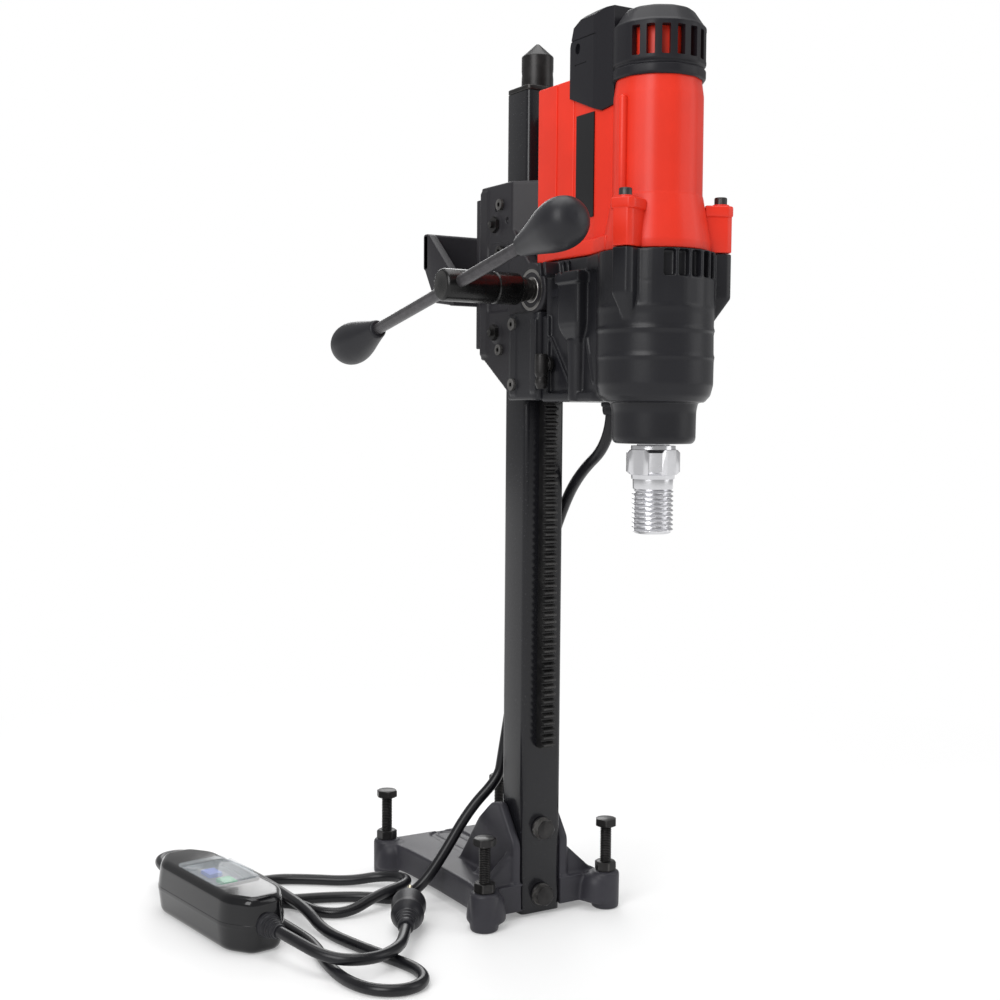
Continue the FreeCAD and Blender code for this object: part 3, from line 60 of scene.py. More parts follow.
def addCamera(look):
    # right, up and back vectors from yaw about Z, pitch below the horizon and a small roll
    yaw, pitch, roll = (math.radians(look[key]) for key in ("yaw", "pitch", "roll"))
    ahead = Vector((math.sin(yaw) * math.cos(pitch), math.cos(yaw) * math.cos(pitch), -math.sin(pitch)))
    level = Vector((math.cos(yaw), -math.sin(yaw), 0))
    down = ahead.cross(level)
    right = level * math.cos(roll) + down * math.sin(roll)
    below = down * math.cos(roll) - level * math.sin(roll)
    data = bpy.data.cameras.new("camera")
    data.lens = look["lens"]
    data.sensor_width = 36
    data.shift_y = look["shiftY"]
    data.clip_start = 0.02
    data.clip_end = 60
    thing = bpy.data.objects.new("camera", data)
    bpy.context.collection.objects.link(thing)
    turn = Matrix((right, -below, -ahead)).transposed().to_4x4()
    thing.matrix_world = Matrix.Translation(look["place"]) @ turn
    bpy.context.scene.camera = thing


def addLight(name, place, aim, size, power):
    # a rectangular lamp at a place, turned so that its face looks at the aim
    data = bpy.data.lights.new(name, "AREA")
    data.shape = "RECTANGLE"
    data.size = size[0]
    data.size_y = size[1]
    data.energy = power
    thing = bpy.data.objects.new(name, data)
    bpy.context.collection.objects.link(thing)
    thing.location = place
    thing.rotation_euler = (Vector(aim) - Vector(place)).to_track_quat("-Z", "Y").to_euler()


addCamera(camera)
world = bpy.data.worlds.new("studio")
bpy.context.scene.world = world
world.use_nodes = True
seen = world.node_tree.nodes.new("ShaderNodeLightPath")
level = world.node_tree.nodes.new("ShaderNodeMapRange")
level.inputs["To Min"].default_value = studio["world"]
level.inputs["To Max"].default_value = 1.0
world.node_tree.links.new(seen.outputs["Is Camera Ray"], level.inputs["Value"])
world.node_tree.nodes["Background"].inputs["Color"].default_value = (1, 1, 1, 1)
world.node_tree.links.new(level.outputs["Result"], world.node_tree.nodes["Background"].inputs["Strength"])
bpy.context.scene.view_settings.view_transform = "Standard"
addLight("keyLeft", (-1.9, -1.1, 1.5), (0, -0.05, 0.40), (1.3, 1.6), 34)
addLight("fillRight", (1.7, -1.5, 1.2), (0, -0.1, 0.40), (1.2, 1.6), 10)
addLight("topSoft", (0.0, 0.1, 2.3), (0, 0, 0.3), (1.8, 1.8), 26)
addLight("rearRim", (0.9, 1.9, 1.3), (0, 0, 0.45), (1.0, 1.4), 14)

# mesh makers
def meshPiece(name, points, faces):
    # points is an array of corners in metres, faces a list of index lists
    data = bpy.data.meshes.new(name)
    data.from_pydata(np.asarray(points, float).reshape(-1, 3).tolist(), [], faces)
    shell = bmesh.new()
    shell.from_mesh(data)
    bmesh.ops.recalc_face_normals(shell, faces=shell.faces)
    shell.to_mesh(data)
    shell.free()
    data.polygons.foreach_set("use_smooth", np.ones(len(data.polygons), bool))
    data.update()
    thing = bpy.data.objects.new(name, data)
    bpy.context.collection.objects.link(thing)
    return thing


def gridFaces(rows, columns, closed=True, start=0):
    # quads between neighbouring points of a rows by columns grid; closed joins last column to first
    index = np.arange(rows * columns).reshape(rows, columns) + start
    beside = np.roll(index, -1, axis=1) if closed else index[:, 1:]
    here = index if closed else index[:, :-1]
    quads = np.stack([here[:-1], beside[:-1], beside[1:], here[1:]], axis=-1)
    return quads.reshape(-1, 4).tolist()


def ringSolid(rings):
    # a closed solid through equal rings of points, with flat ends: returns points and faces
    rings = np.asarray(rings, float)
    rows, columns = rings.shape[:2]
    faces = gridFaces(rows, columns)
    faces.append(list(range(columns))[::-1])
    faces.append(list(range((rows - 1) * columns, rows * columns)))
    return rings.reshape(-1, 3), faces


def loopSolid(rings):
    # a solid through equal rings of points whose last ring joins the first one, so it has no ends
    rows, columns = rings.shape[:2]
    first = np.arange(columns)
    last = first + (rows - 1) * columns
    faces = gridFaces(rows, columns)
    faces += np.stack([last, np.roll(last, -1), np.roll(first, -1), first], axis=-1).tolist()
    return rings.reshape(-1, 3), faces


def softCorners(points, radius, closed=True, steps=4):
    # each corner of a polyline becomes a curve through the corner's tangent points (quadratic blend)
    points = np.asarray(points, float)
    count = len(points)
    radii = np.broadcast_to(radius, count)
    out = []
    for index in range(count):
        here = points[index]
        if not closed and index in (0, count - 1):
            out.append(here[None])
            continue
        before, after = points[index - 1] - here, points[(index + 1) % count] - here
        nearest = min(np.linalg.norm(before), np.linalg.norm(after)) * 0.48
        reach = min(radii[index], nearest)
        if reach < 1e-6:
            out.append(here[None])
            continue
        first = here + before / np.linalg.norm(before) * reach
        last = here + after / np.linalg.norm(after) * reach
        blend = np.linspace(0, 1, steps + 1)[:, None]
        out.append((1 - blend) ** 2 * first + 2 * blend * (1 - blend) * here + blend ** 2 * last)
    return np.concatenate(out)


def outward(outline):
    # unit normals of a closed outline at its points, turned away from its inside
    along = np.roll(outline, -1, axis=0) - np.roll(outline, 1, axis=0)
    side = np.stack([along[:, 1], -along[:, 0]], axis=1)
    side /= np.maximum(np.linalg.norm(side, axis=1, keepdims=True), 1e-9)
    nxt = np.roll(outline, -1, axis=0)
    area = np.sum(outline[:, 0] * nxt[:, 1] - nxt[:, 0] * outline[:, 1])
    return side if area > 0 else -side


def onAxis(flat, height, axis):
    # places flat outline coordinates and a height along an axis: Z keeps x,y; X takes y,z; Y takes x,z
    a, b = flat[..., 0], flat[..., 1]
    height = np.broadcast_to(height, a.shape)
    order = {"Z": (a, b, height), "X": (height, a, b), "Y": (a, height, b)}[axis]
    return np.stack(order, axis=-1) * mm


def prism(outline, low, high, bevel=1.0, axis="Z", corner=0.0, steps=3):
    # an outline pushed from low to high, its two rims rounded by a quarter circle of the bevel's size
    flat = softCorners(outline, corner) if np.any(np.asarray(corner) > 0) else np.asarray(outline, float)
    normal = outward(flat)
    turn = np.linspace(0, math.pi / 2, steps + 1)
    inset = bevel * (1 - np.sin(turn))
    rise = bevel * (1 - np.cos(turn))
    rings = [onAxis(flat - normal * step, low + up, axis) for step, up in zip(inset, rise)]
    rings += [onAxis(flat - normal * step, high - up, axis) for step, up in zip(inset[::-1], rise[::-1])]
    return ringSolid(rings)


def circle(centre, radius, count):
    # points at equal angles round a centre; a pair of radii gives an ellipse
    angle = np.linspace(0, 2 * math.pi, count, endpoint=False)
    return np.array(centre, float) + np.array(radius) * np.stack([np.cos(angle), np.sin(angle)], axis=-1)


def longHole(radius, low, high, count=48):
    # an ellipse pulled apart along y, so that its halves are centred on low and high
    angle = np.linspace(-math.pi, math.pi, count, endpoint=False)
    middle = np.where(np.sin(angle) < 0, low, high)
    return np.stack([radius[0] * np.cos(angle), middle + radius[1] * np.sin(angle)], axis=-1)


def spokePlan(centre, degrees, near, far, half):
    # a rectangle that reaches from near to far along a direction from the centre
    along = np.array([math.cos(math.radians(degrees)), math.sin(math.radians(degrees))])
    across = np.array([-along[1], along[0]])
    corners = ((near, -half), (far, -half), (far, half), (near, half))
    return np.array([centre + along * x + across * y for x, y in corners])


def sideSpan(side, inner, outer):
    # a stretch on one side of the middle plane, its lower end first
    return sorted((side * inner, side * outer))


def turnedSolid(profile, centre=(0, 0), axis="Z", corner=0.6, around=72, closed=False):
    # a profile of (radius, height) turned about an axis; its corners are softened first
    profile = softCorners(profile, corner, closed=closed, steps=3)
    angle = np.linspace(0, 2 * math.pi, around, endpoint=False)
    radius = np.maximum(profile[:, 0], 0.001)[:, None]
    flat = np.stack([centre[0] + radius * np.cos(angle), centre[1] + radius * np.sin(angle)], axis=-1)
    rings = onAxis(flat, profile[:, 1][:, None] + 0 * angle, axis)
    return loopSolid(rings) if closed else ringSolid(rings)


def rodSolid(radius, low, high, centre=(0, 0), axis="Z", corner=0.6, around=72):
    # a plain cylinder between two heights
    return turnedSolid([(0, low), (radius, low), (radius, high), (0, high)], centre, axis, corner, around)


def block(x, y, z, bevel=0.8, corner=1.0):
    # a box between two values on each axis, its upright edges and rims rounded
    outline = [(x[0], y[0]), (x[1], y[0]), (x[1], y[1]), (x[0], y[1])]
    return prism(outline, z[0], z[1], bevel, "Z", corner)


def moved(solid, turn=None, shift=(0, 0, 0)):
    # a solid turned by a matrix and then shifted by millimetres
    points, faces = solid
    if turn is not None:
        points = points @ np.array(turn.to_3x3()).T
    return points + np.array(shift, float) * mm, faces


def joined(*solids):
    # several solids in one points and faces pair
    points, faces, start = [], [], 0
    for solid in solids:
        points.append(solid[0])
        faces += [[index + start for index in face] for face in solid[1]]
        start += len(solid[0])
    return np.concatenate(points), faces


def threadSolid(centre, radius, pitch, depth, low, high, around=48, perTurn=9, axis="Z", taper=2.0, hand=1):
    # a screw surface: radius falls by depth between turns of height pitch, and tapers to the core at both
    # ends
    angle = np.linspace(0, 2 * math.pi, around, endpoint=False)
    height = np.linspace(low, high, int((high - low) / pitch * perTurn) + 2)[:, None]
    phase = (height / pitch - hand * angle / (2 * math.pi)) % 1.0
    valley = np.clip(np.abs(phase - 0.5) * 2.6 - 0.2, 0, 1)
    fade = np.clip(np.minimum(height - low, high - height) / taper, 0, 1)
    reach = radius - depth * (1 - fade * (1 - valley))
    flat = np.stack([centre[0] + reach * np.cos(angle), centre[1] + reach * np.sin(angle)], axis=-1)
    return ringSolid(onAxis(flat, height + 0 * angle, axis))


def hexSolid(centre, across, low, high, chamferHigh=True, chamferLow=False, axis="Z", turn=0.0, around=72):
    # a hexagon nut or head: the hexagon's radius, cut at each end by a 30 degree cone
    angle = np.linspace(0, 2 * math.pi, around, endpoint=False) + math.radians(turn)
    local = (angle - math.radians(turn) + math.pi / 6) % (math.pi / 3) - math.pi / 6
    flatRadius = across / 2 / np.cos(local)
    corner = across / 2 / math.cos(math.pi / 6)
    inner = across / 2 * 0.97
    slope = (corner - inner) * 0.58
    lower = low + (slope if chamferLow else 0)
    upper = high - (slope if chamferHigh else 0)
    steps = np.linspace(0, 1, 5)
    heights = np.concatenate([low + (lower - low) * steps, high - (high - upper) * steps[::-1]])
    cones = np.concatenate([inner + (corner - inner) * steps if chamferLow else np.full(5, corner),
                            inner + (corner - inner) * steps[::-1] if chamferHigh else np.full(5, corner)])
    reach = np.minimum(flatRadius[None], cones[:, None])
    flat = np.stack([centre[0] + reach * np.cos(angle), centre[1] + reach * np.sin(angle)], axis=-1)
    return ringSolid(onAxis(flat, heights[:, None] + 0 * angle, axis))


def takeAway(body, tool):
    # an exact boolean difference that copes with solids that cross each other
    away = body.modifiers.new("away", "BOOLEAN")
    away.operation = "DIFFERENCE"
    away.solver = "EXACT"
    away.use_self = True
    away.object = tool


def bakedPiece(name, body, tool):
    # the body with its modifiers applied, as a new object, without the two raw ones
    bpy.context.view_layer.update()
    result = bpy.data.meshes.new_from_object(body.evaluated_get(bpy.context.evaluated_depsgraph_get()))
    result.name = name
    for extra in (body, tool):
        bpy.data.objects.remove(extra)
    thing = bpy.data.objects.new(name, result)
    bpy.context.collection.objects.link(thing)
    return thing


def castPiece(name, adds, cuts, voxel, smooth):
    # solids melted into one skin by a voxel remesh, after the cuts are taken away; soft edges like a casting
    body = meshPiece(name + "Raw", *joined(*adds))
    tool = meshPiece(name + "Tool", *joined(*cuts))
    takeAway(body, tool)
    melt = body.modifiers.new("melt", "REMESH")
    melt.mode = "VOXEL"
    melt.voxel_size = voxel * mm
    melt.use_smooth_shade = True
    soften = body.modifiers.new("soften", "SMOOTH")
    soften.factor = 0.5
    soften.iterations = smooth
    thing = bakedPiece(name, body, tool)
    thing.data.polygons.foreach_set("use_smooth", np.ones(len(thing.data.polygons), bool))
    print("  cast", name, len(thing.data.polygons), "faces")
    return thing


def cutPiece(name, adds, cuts):
    # solids with sharp cuts taken away by an exact boolean, and no remesh
    body = meshPiece(name + "Raw", *joined(*adds))
    tool = meshPiece(name + "Tool", *joined(*cuts))
    takeAway(body, tool)
    return bakedPiece(name, body, tool)


def finishPiece(thing, look, body, replaces=(), angle=35):
    # gives a piece its finish, body and slot, hides the CAD nodes it stands for, and sharpens its creases
    thing.data.materials.clear()
    thing.data.materials.append(looks[look])
    if angle:
        with bpy.context.temp_override(object=thing, selected_objects=[thing],
                                       selected_editable_objects=[thing], active_object=thing):
            bpy.ops.object.shade_smooth_by_angle(angle=math.radians(angle), keep_sharp_edges=False)
    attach(thing, body)
    if replaces:
        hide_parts(*replaces)
    return thing


def solidPiece(name, solid, look, body, replaces=(), angle=35):
    # a solid's points and faces made a mesh, then finished
    return finishPiece(meshPiece(name, *solid), look, body, replaces, angle)


# shader graph: Wire overloads the operators, Graph.add makes any other node
class Wire:
    def __init__(self, graph, socket):
        self.graph = graph
        self.socket = socket

    def __add__(self, other):
        return self.graph.sums("ADD", self, other)

    def __radd__(self, other):
        return self.graph.sums("ADD", other, self)

    def __sub__(self, other):
        return self.graph.sums("SUBTRACT", self, other)

    def __mul__(self, other):
        return self.graph.sums("MULTIPLY", self, other)

    def __rmul__(self, other):
        return self.graph.sums("MULTIPLY", other, self)


class Graph:
    def __init__(self, name):
        self.material = bpy.data.materials.new(name)
        self.material.use_nodes = True
        self.tree = self.material.node_tree
        self.shader = self.tree.nodes["Principled BSDF"]

    def add(self, kind, settings=None, output=0, **sockets):
        node = self.tree.nodes.new(kind)
        for key, value in (settings or {}).items():
            setattr(node, key, value)
        for key, value in sockets.items():
            name = int(key[1:]) if key[0] == "i" and key[1:].isdigit() else key.replace("_", " ")
            self.feed(node.inputs[name], value)
        return Wire(self, node.outputs[output])

    def feed(self, socket, value):
        if isinstance(value, Wire):
            self.tree.links.new(value.socket, socket)
        elif isinstance(value, (tuple, list)) and len(value) == 3 and socket.type == "RGBA":
            socket.default_value = (*value, 1)
        else:
            socket.default_value = value

    def sums(self, operation, first, second):
        return self.add("ShaderNodeMath", {"operation": operation}, i0=first, i1=second)

    def place(self):
        return self.add("ShaderNodeTexCoord", output="Object")

    def noise(self, scale, detail=3.0, roughness=0.55, vector=None):
        return self.add("ShaderNodeTexNoise", Vector=vector or self.place(), Scale=scale, Detail=detail,
                        Roughness=roughness)

    def stretch(self, factors):
        return self.add("ShaderNodeVectorMath", {"operation": "MULTIPLY"}, i0=self.place(), i1=factors)

    def between(self, wire, low, high):
        return self.add("ShaderNodeMapRange", Value=wire, From_Min=low, From_Max=high)

    def mix(self, factor, first, second):
        return self.add("ShaderNodeMix", {"data_type": "RGBA"}, output=2, i0=factor, i6=first, i7=second)

    def bump(self, height, strength, distance):
        return self.add("ShaderNodeBump", Height=height, Strength=strength, Distance=distance)

    def edges(self, low=0.52, high=0.58):
        return self.between(self.add("ShaderNodeNewGeometry", output="Pointiness"), low, high)

    def use(self, **sockets):
        for key, value in sockets.items():
            self.feed(self.shader.inputs[key.replace("_", " ")], value)
        return self.material


def shade(colour, factor):
    return tuple(min(1.0, channel * factor) for channel in colour)


def castPaint(name, colour, rough, grain=900, depth=0.00012, level=0.22):
    # satin paint over a sand casting: fine pebble bump, slow tone drift, brighter worn edges
    g = Graph(name)
    drift = g.noise(18, 4)
    pebble = g.noise(grain, 4, 0.6) + g.noise(grain * 0.3, 2) * 0.8
    tone = g.mix(g.between(drift, 0.35, 0.65), shade(colour, 0.90), shade(colour, 1.12))
    tone = g.mix(g.edges(0.53, 0.60) * 0.35, tone, shade(colour, 2.2))
    return g.use(Base_Color=tone, Roughness=rough + (drift - 0.5) * 0.16, Specular_IOR_Level=level,
                 Normal=g.bump(pebble, 0.35, depth))


def mouldedPlastic(name, colour, rough, grain=2600, depth=0.00003, coat=0.0, level=0.3):
    # moulded plastic: very fine spark texture, faint flow streaks, slightly lighter rubbed edges
    g = Graph(name)
    drift = g.noise(26, 3)
    streak = g.noise(14, 3, vector=g.stretch((1, 1, 0.12)))
    tone = g.mix(g.between(drift + streak - 0.5, 0.3, 0.7), shade(colour, 0.95), shade(colour, 1.06))
    tone = g.mix(g.edges(0.54, 0.62) * 0.3, tone, shade(colour, 1.5))
    return g.use(Base_Color=tone, Roughness=rough + (streak - 0.5) * 0.08, Coat_Weight=coat,
                 Specular_IOR_Level=level,
                 Normal=g.bump(g.noise(grain, 2), 0.3, depth))


def turnedSteel(name, colour, rough, rings=2400):
    # machined metal: fine rings across its length, smears of oil in the roughness
    g = Graph(name)
    lines = g.noise(rings, 2, vector=g.stretch((0.02, 0.02, 1)))
    smear = g.noise(55, 4)
    tone = g.mix(smear, shade(colour, 0.86), shade(colour, 1.08))
    return g.use(Base_Color=tone, Metallic=1.0, Roughness=rough + (smear - 0.5) * 0.18,
                 Normal=g.bump(lines, 0.25, 0.00003))


def darkSteel(name, colour, rough, metallic=0.85, worn=0.6):
    # black-oxide steel: mottled oxide, bare metal breaking through on the edges
    g = Graph(name)
    mottle = g.noise(140, 5, 0.65)
    wear = g.edges(0.54, 0.64) * g.between(g.noise(60, 3), 0.3, 0.6)
    tone = g.mix(g.between(mottle, 0.35, 0.7), shade(colour, 0.75), shade(colour, 1.35))
    tone = g.mix(wear * worn, tone, (0.30, 0.29, 0.28))
    return g.use(Base_Color=tone, Metallic=metallic, Roughness=rough + (mottle - 0.5) * 0.22,
                 Normal=g.bump(mottle, 0.15, 0.00005))


def glossCoat(name, colour, rough):
    # gloss lacquer on tube: soft orange peel and a few dust marks
    g = Graph(name)
    peel = g.noise(320, 2, 0.4)
    dust = g.between(g.noise(900, 2), 0.68, 0.74)
    tone = g.mix(dust * 0.25, colour, (0.25, 0.25, 0.26))
    return g.use(Base_Color=tone, Roughness=rough + dust * 0.2 + (g.noise(9, 3) - 0.5) * 0.08,
                 Specular_IOR_Level=0.35, Normal=g.bump(peel, 0.10, 0.00004))


def cordRubber(name, colour):
    # extruded rubber sheath: dull skin with long faint drag lines and chalky patches
    g = Graph(name)
    chalk = g.noise(45, 4)
    grain = g.noise(1500, 3)
    tone = g.mix(g.between(chalk, 0.4, 0.75), colour, shade(colour, 1.9))
    return g.use(Base_Color=tone, Roughness=0.31 + (chalk - 0.5) * 0.2, Specular_IOR_Level=0.36,
                 Normal=g.bump(grain, 0.2, 0.00004))


looks = {
    "castBase": castPaint("castBase", (0.030, 0.029, 0.036), 0.44, 800, 0.00014, level=0.30),
    "castCarriage": castPaint("castCarriage", (0.017, 0.016, 0.019), 0.42, 1000, level=0.28),
    "castGearbox": castPaint("castGearbox", (0.012, 0.012, 0.0145), 0.32, 1300, 0.00008, level=0.26),
    "glossBlack": glossCoat("glossBlack", (0.0075, 0.0075, 0.0095), 0.20),
    "redPlastic": mouldedPlastic("redPlastic", (0.70, 0.030, 0.012), 0.38, level=0.30),
    "darkPlastic": mouldedPlastic("darkPlastic", (0.0100, 0.0097, 0.0125), 0.44, 2000, 0.00006, level=0.24),
    "labelFilm": mouldedPlastic("labelFilm", (0.006, 0.006, 0.007), 0.30),
    "knobPlastic": mouldedPlastic("knobPlastic", (0.013, 0.013, 0.016), 0.42, 1800, 0.00005, level=0.30),
    "switchGloss": mouldedPlastic("switchGloss", (0.0035, 0.0035, 0.0045), 0.14, coat=0.2, level=0.34),
    "panelGrey": mouldedPlastic("panelGrey", (0.10, 0.10, 0.11), 0.35),
    "brightSteel": turnedSteel("brightSteel", (0.70, 0.70, 0.72), 0.24),
    "bearingSteel": turnedSteel("bearingSteel", (0.30, 0.29, 0.28), 0.30),
    "blackSteel": darkSteel("blackSteel", (0.020, 0.019, 0.019), 0.36, 0.6),
    "hubSteel": darkSteel("hubSteel", (0.0045, 0.0043, 0.0045), 0.26, 0.3, 0.15),
    "rodSteel": darkSteel("rodSteel", (0.055, 0.052, 0.056), 0.36, 0.5, 0.3),
    "rackSteel": darkSteel("rackSteel", (0.0035, 0.0034, 0.004), 0.42, 0.3, 0.12),
    "coreSteel": turnedSteel("coreSteel", (0.35, 0.35, 0.37), 0.42, 5200),
    "copper": turnedSteel("copper", (0.80, 0.42, 0.24), 0.30),
    "bronze": turnedSteel("bronze", (0.42, 0.30, 0.15), 0.40),
    "cordRubber": cordRubber("cordRubber", (0.0055, 0.0055, 0.007)),
    "buttonBlue": mouldedPlastic("buttonBlue", (0.02, 0.08, 0.55), 0.25),
    "buttonGreen": mouldedPlastic("buttonGreen", (0.01, 0.34, 0.10), 0.25),
    "bladeSteel": turnedSteel("bladeSteel", (0.50, 0.44, 0.30), 0.30),
}


def clearSheet():
    # clear moulded cover: a thin tinted gloss layer over mostly see-through plastic
    g = Graph("clearFlap")
    haze = g.noise(40, 3)
    return g.use(Base_Color=(0.72, 0.78, 0.82), Roughness=0.08 + haze * 0.08, Alpha=0.22, Coat_Weight=0.5)


looks["clearFlap"] = clearSheet()
print("stage: materials")


def floorMaterial():
    # pale matt floor that turns into plain white light with distance from the object
    g = Graph("floorPale")
    tone = studio["floorTone"]
    g.use(Base_Color=(tone, tone, tone), Roughness=0.85)
    away = g.add("ShaderNodeVectorMath", {"operation": "LENGTH"}, output="Value", i0=g.place())
    glow = g.add("ShaderNodeEmission", output="Emission", Color=(1, 1, 1), Strength=1.0)
    blend = g.add("ShaderNodeMixShader", output="Shader", i0=g.between(away, 0.25, 1.1) * 0.75 + 0.25,
                  i1=Wire(g, g.shader.outputs["BSDF"]), i2=glow)
    g.tree.links.new(blend.socket, g.tree.nodes["Material Output"].inputs["Surface"])
    return g.material


half = studio["floorSize"]
floor = meshPiece("floor", [(-half, -half, 0), (half, -half, 0), (half, half, 0), (-half, half, 0)],
                  [[0, 1, 2, 3]])
floor.data.materials.append(floorMaterial())

# cords: routes repeat the CAD corners, in millimetres
cordSpec = {"diameter": 0.0095, "rest": 4.9, "over": 14.7}
rest, over = cordSpec["rest"], cordSpec["over"]
boxCentre = (-253.0, 113.0)
boxTurn = math.radians(-82.9)
plugPlace = (-138.0, -10.0, 16.0)
plugTurn = math.radians(60)


def besideBox(along):
    # a point on the switch box's long axis, at a distance from its middle
    return (boxCentre[0] + along * math.cos(boxTurn), boxCentre[1] + along * math.sin(boxTurn), 24.0)


mainRoute = [
    (25, -62, 443), (25, -62, 415), (28, -8, 385), (32, 26, 346), (30, 52, 290), (14, 63, 220),
    (-3, 62, 128), (-6.4, 61.8, 109.6), (-34, 68, 82), (-62, 66, 44), (-84, 64, 21), (-98, 80, 6),
    (-114, 104, rest), (-142, 120, rest), (-172, 130, rest), (-202, 138, rest), (-212, 164, rest),
    (-200, 188, rest), (-172, 196, rest), (-142, 178, rest), (-112, 154, rest), (-84, 142, 9), (-71, 116, 12),
    (-86, 92, over), (-120, 79, over), (-150, 74, rest), (-172, 88, rest), (-176, 112, rest),
    (-188, 130, rest), (-206, 127, rest), (-213, 104, rest), (-209, 66, rest), (-206, 20, rest),
    (-215, -20, rest), (-218, -60, rest), (-209, -90, rest), (-187, -104, rest), (-165, -96, rest),
    (-158, -72, rest), (-165, -44, rest), (-178, 0, rest), (-187, 44, rest), (-189, 76, over),
    (-190, 120, over), (-192, 160, over), (-197, 200, over), (-212, 238, 18), (-240, 256, 24),
    besideBox(-130), besideBox(-97)]
leadRoute = [
    besideBox(97), besideBox(116), (-222, -44, over + 1), (-192, -58, over), (-162, -46, over),
    (plugPlace[0] - 12 * math.cos(plugTurn), plugPlace[1] - 12 * math.sin(plugTurn), 16),
    (plugPlace[0] + 7 * math.cos(plugTurn), plugPlace[1] + 7 * math.sin(plugTurn), 16)]


def cordCurve(name, route, radius):
    # a clamped cubic NURBS through the route's control points, with a round section
    data = bpy.data.curves.new(name, "CURVE")
    data.dimensions = "3D"
    data.bevel_depth = radius
    data.bevel_resolution = 6
    data.resolution_u = 10
    spline = data.splines.new("NURBS")
    spline.points.add(len(route) - 1)
    spline.points.foreach_set("co", np.column_stack([np.array(route) * mm, np.ones(len(route))]).ravel())
    spline.order_u = 3
    spline.use_endpoint_u = True
    data.use_fill_caps = radius > 0
    thing = bpy.data.objects.new(name, data)
    bpy.context.collection.objects.link(thing)
    return thing


def cordPiece(name, route):
    # the tube as a mesh, with the centreline of the same spline as its path
    made = []
    for label, radius in (("Line", 0.0), ("Tube", cordSpec["diameter"] / 2)):
        curve = cordCurve(name + label, route, radius)
        bpy.context.view_layer.update()
        evaluated = curve.evaluated_get(bpy.context.evaluated_depsgraph_get())
        made.append(bpy.data.meshes.new_from_object(evaluated))
        bpy.data.objects.remove(curve)
    line, tube = made
    points = np.empty(len(line.vertices) * 3)
    line.vertices.foreach_get("co", points)
    points = points.reshape(-1, 3)
    length = float(np.linalg.norm(np.diff(points, axis=0), axis=1).sum())
    thing = bpy.data.objects.new(name, tube)
    tube.polygons.foreach_set("use_smooth", np.ones(len(tube.polygons), bool))
    bpy.context.collection.objects.link(thing)
    tube.materials.clear()
    tube.materials.append(looks["cordRubber"])
    return thing, points, length


mainCord, mainPath, mainLength = cordPiece("drillCord", mainRoute)
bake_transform(mainCord)
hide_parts("cord_upper", "cord_floor")
leadCord, leadPath, leadLength = cordPiece("plugCord", leadRoute)
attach(leadCord, "stand")
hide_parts("cord_lead")
print("stage: cords", round(mainLength, 3), round(leadLength, 3))

# CAD nodes that keep their shape get a finish by their slot
slotLooks = {
    "cast_base": "castBase", "gloss_black": "glossBlack", "black_steel": "blackSteel",
    "cast_carriage": "castCarriage", "cast_gearbox": "castGearbox", "red_plastic": "redPlastic",
    "dark_plastic": "darkPlastic", "label_black": "labelFilm", "knob_black": "knobPlastic",
    "bearing_steel": "bearingSteel", "electrical_steel": "coreSteel", "copper": "copper",
    "slide_bronze": "bronze", "cord_rubber": "cordRubber", "switch_black": "switchGloss",
    "clear_flap": "clearFlap", "button_blue": "buttonBlue", "button_green": "buttonGreen",
    "blade_steel": "bladeSteel"}
nodeLooks = {"rack": "rackSteel", "spindle": "brightSteel"}
for part in frame["record"]["subparts"]:
    nodeObject = frame["nodes"][part["node"]]
    chosen = looks[nodeLooks.get(part["node"], slotLooks[part["material_slot"]])]
    if not nodeObject.material_slots:
        nodeObject.data.materials.append(chosen)
    for slotHolder in nodeObject.material_slots:
        slotHolder.material = chosen
print("stage: node finishes")

# motor: faceted red shell, rear block, screw lugs
motorSpec = {"axis": (0.0, -153.3), "seam": 560.0, "top": 690.0, "sides": 12, "blockTop": 700, "coreRise": 33,
             "lugs": ((-44.6, -174.3), (44.6, -174.3))}


def facetRings(profile, sides, centre, corner, turn=0.0, steps=4):
    # a regular polygon with softened corners, its size following a profile of (radius, height)
    angle = np.arange(sides) * 2 * math.pi / sides + math.radians(turn)
    unit = softCorners(np.stack([np.cos(angle), np.sin(angle)], axis=-1), corner, steps=steps)
    profile = softCorners(profile, 0.8, closed=False, steps=3)
    flat = profile[:, 0][:, None, None] * unit[None] + np.array(centre)
    return onAxis(flat, profile[:, 1][:, None] + 0 * unit[:, 0], "Z")


def lugPlan(place, half, out, inward):
    # a rounded block plan around a screw, its outer face square to the line from the drill axis
    away = np.array(place) - np.array(motorSpec["axis"])
    away = away / np.linalg.norm(away)
    side = np.array([-away[1], away[0]])
    centre = np.array(place)
    return [centre + away * out + side * half * 0.72, centre + away * out * 0.45 + side * half,
            centre - away * inward + side * half, centre - away * inward - side * half,
            centre + away * out * 0.45 - side * half, centre + away * out - side * half * 0.72]


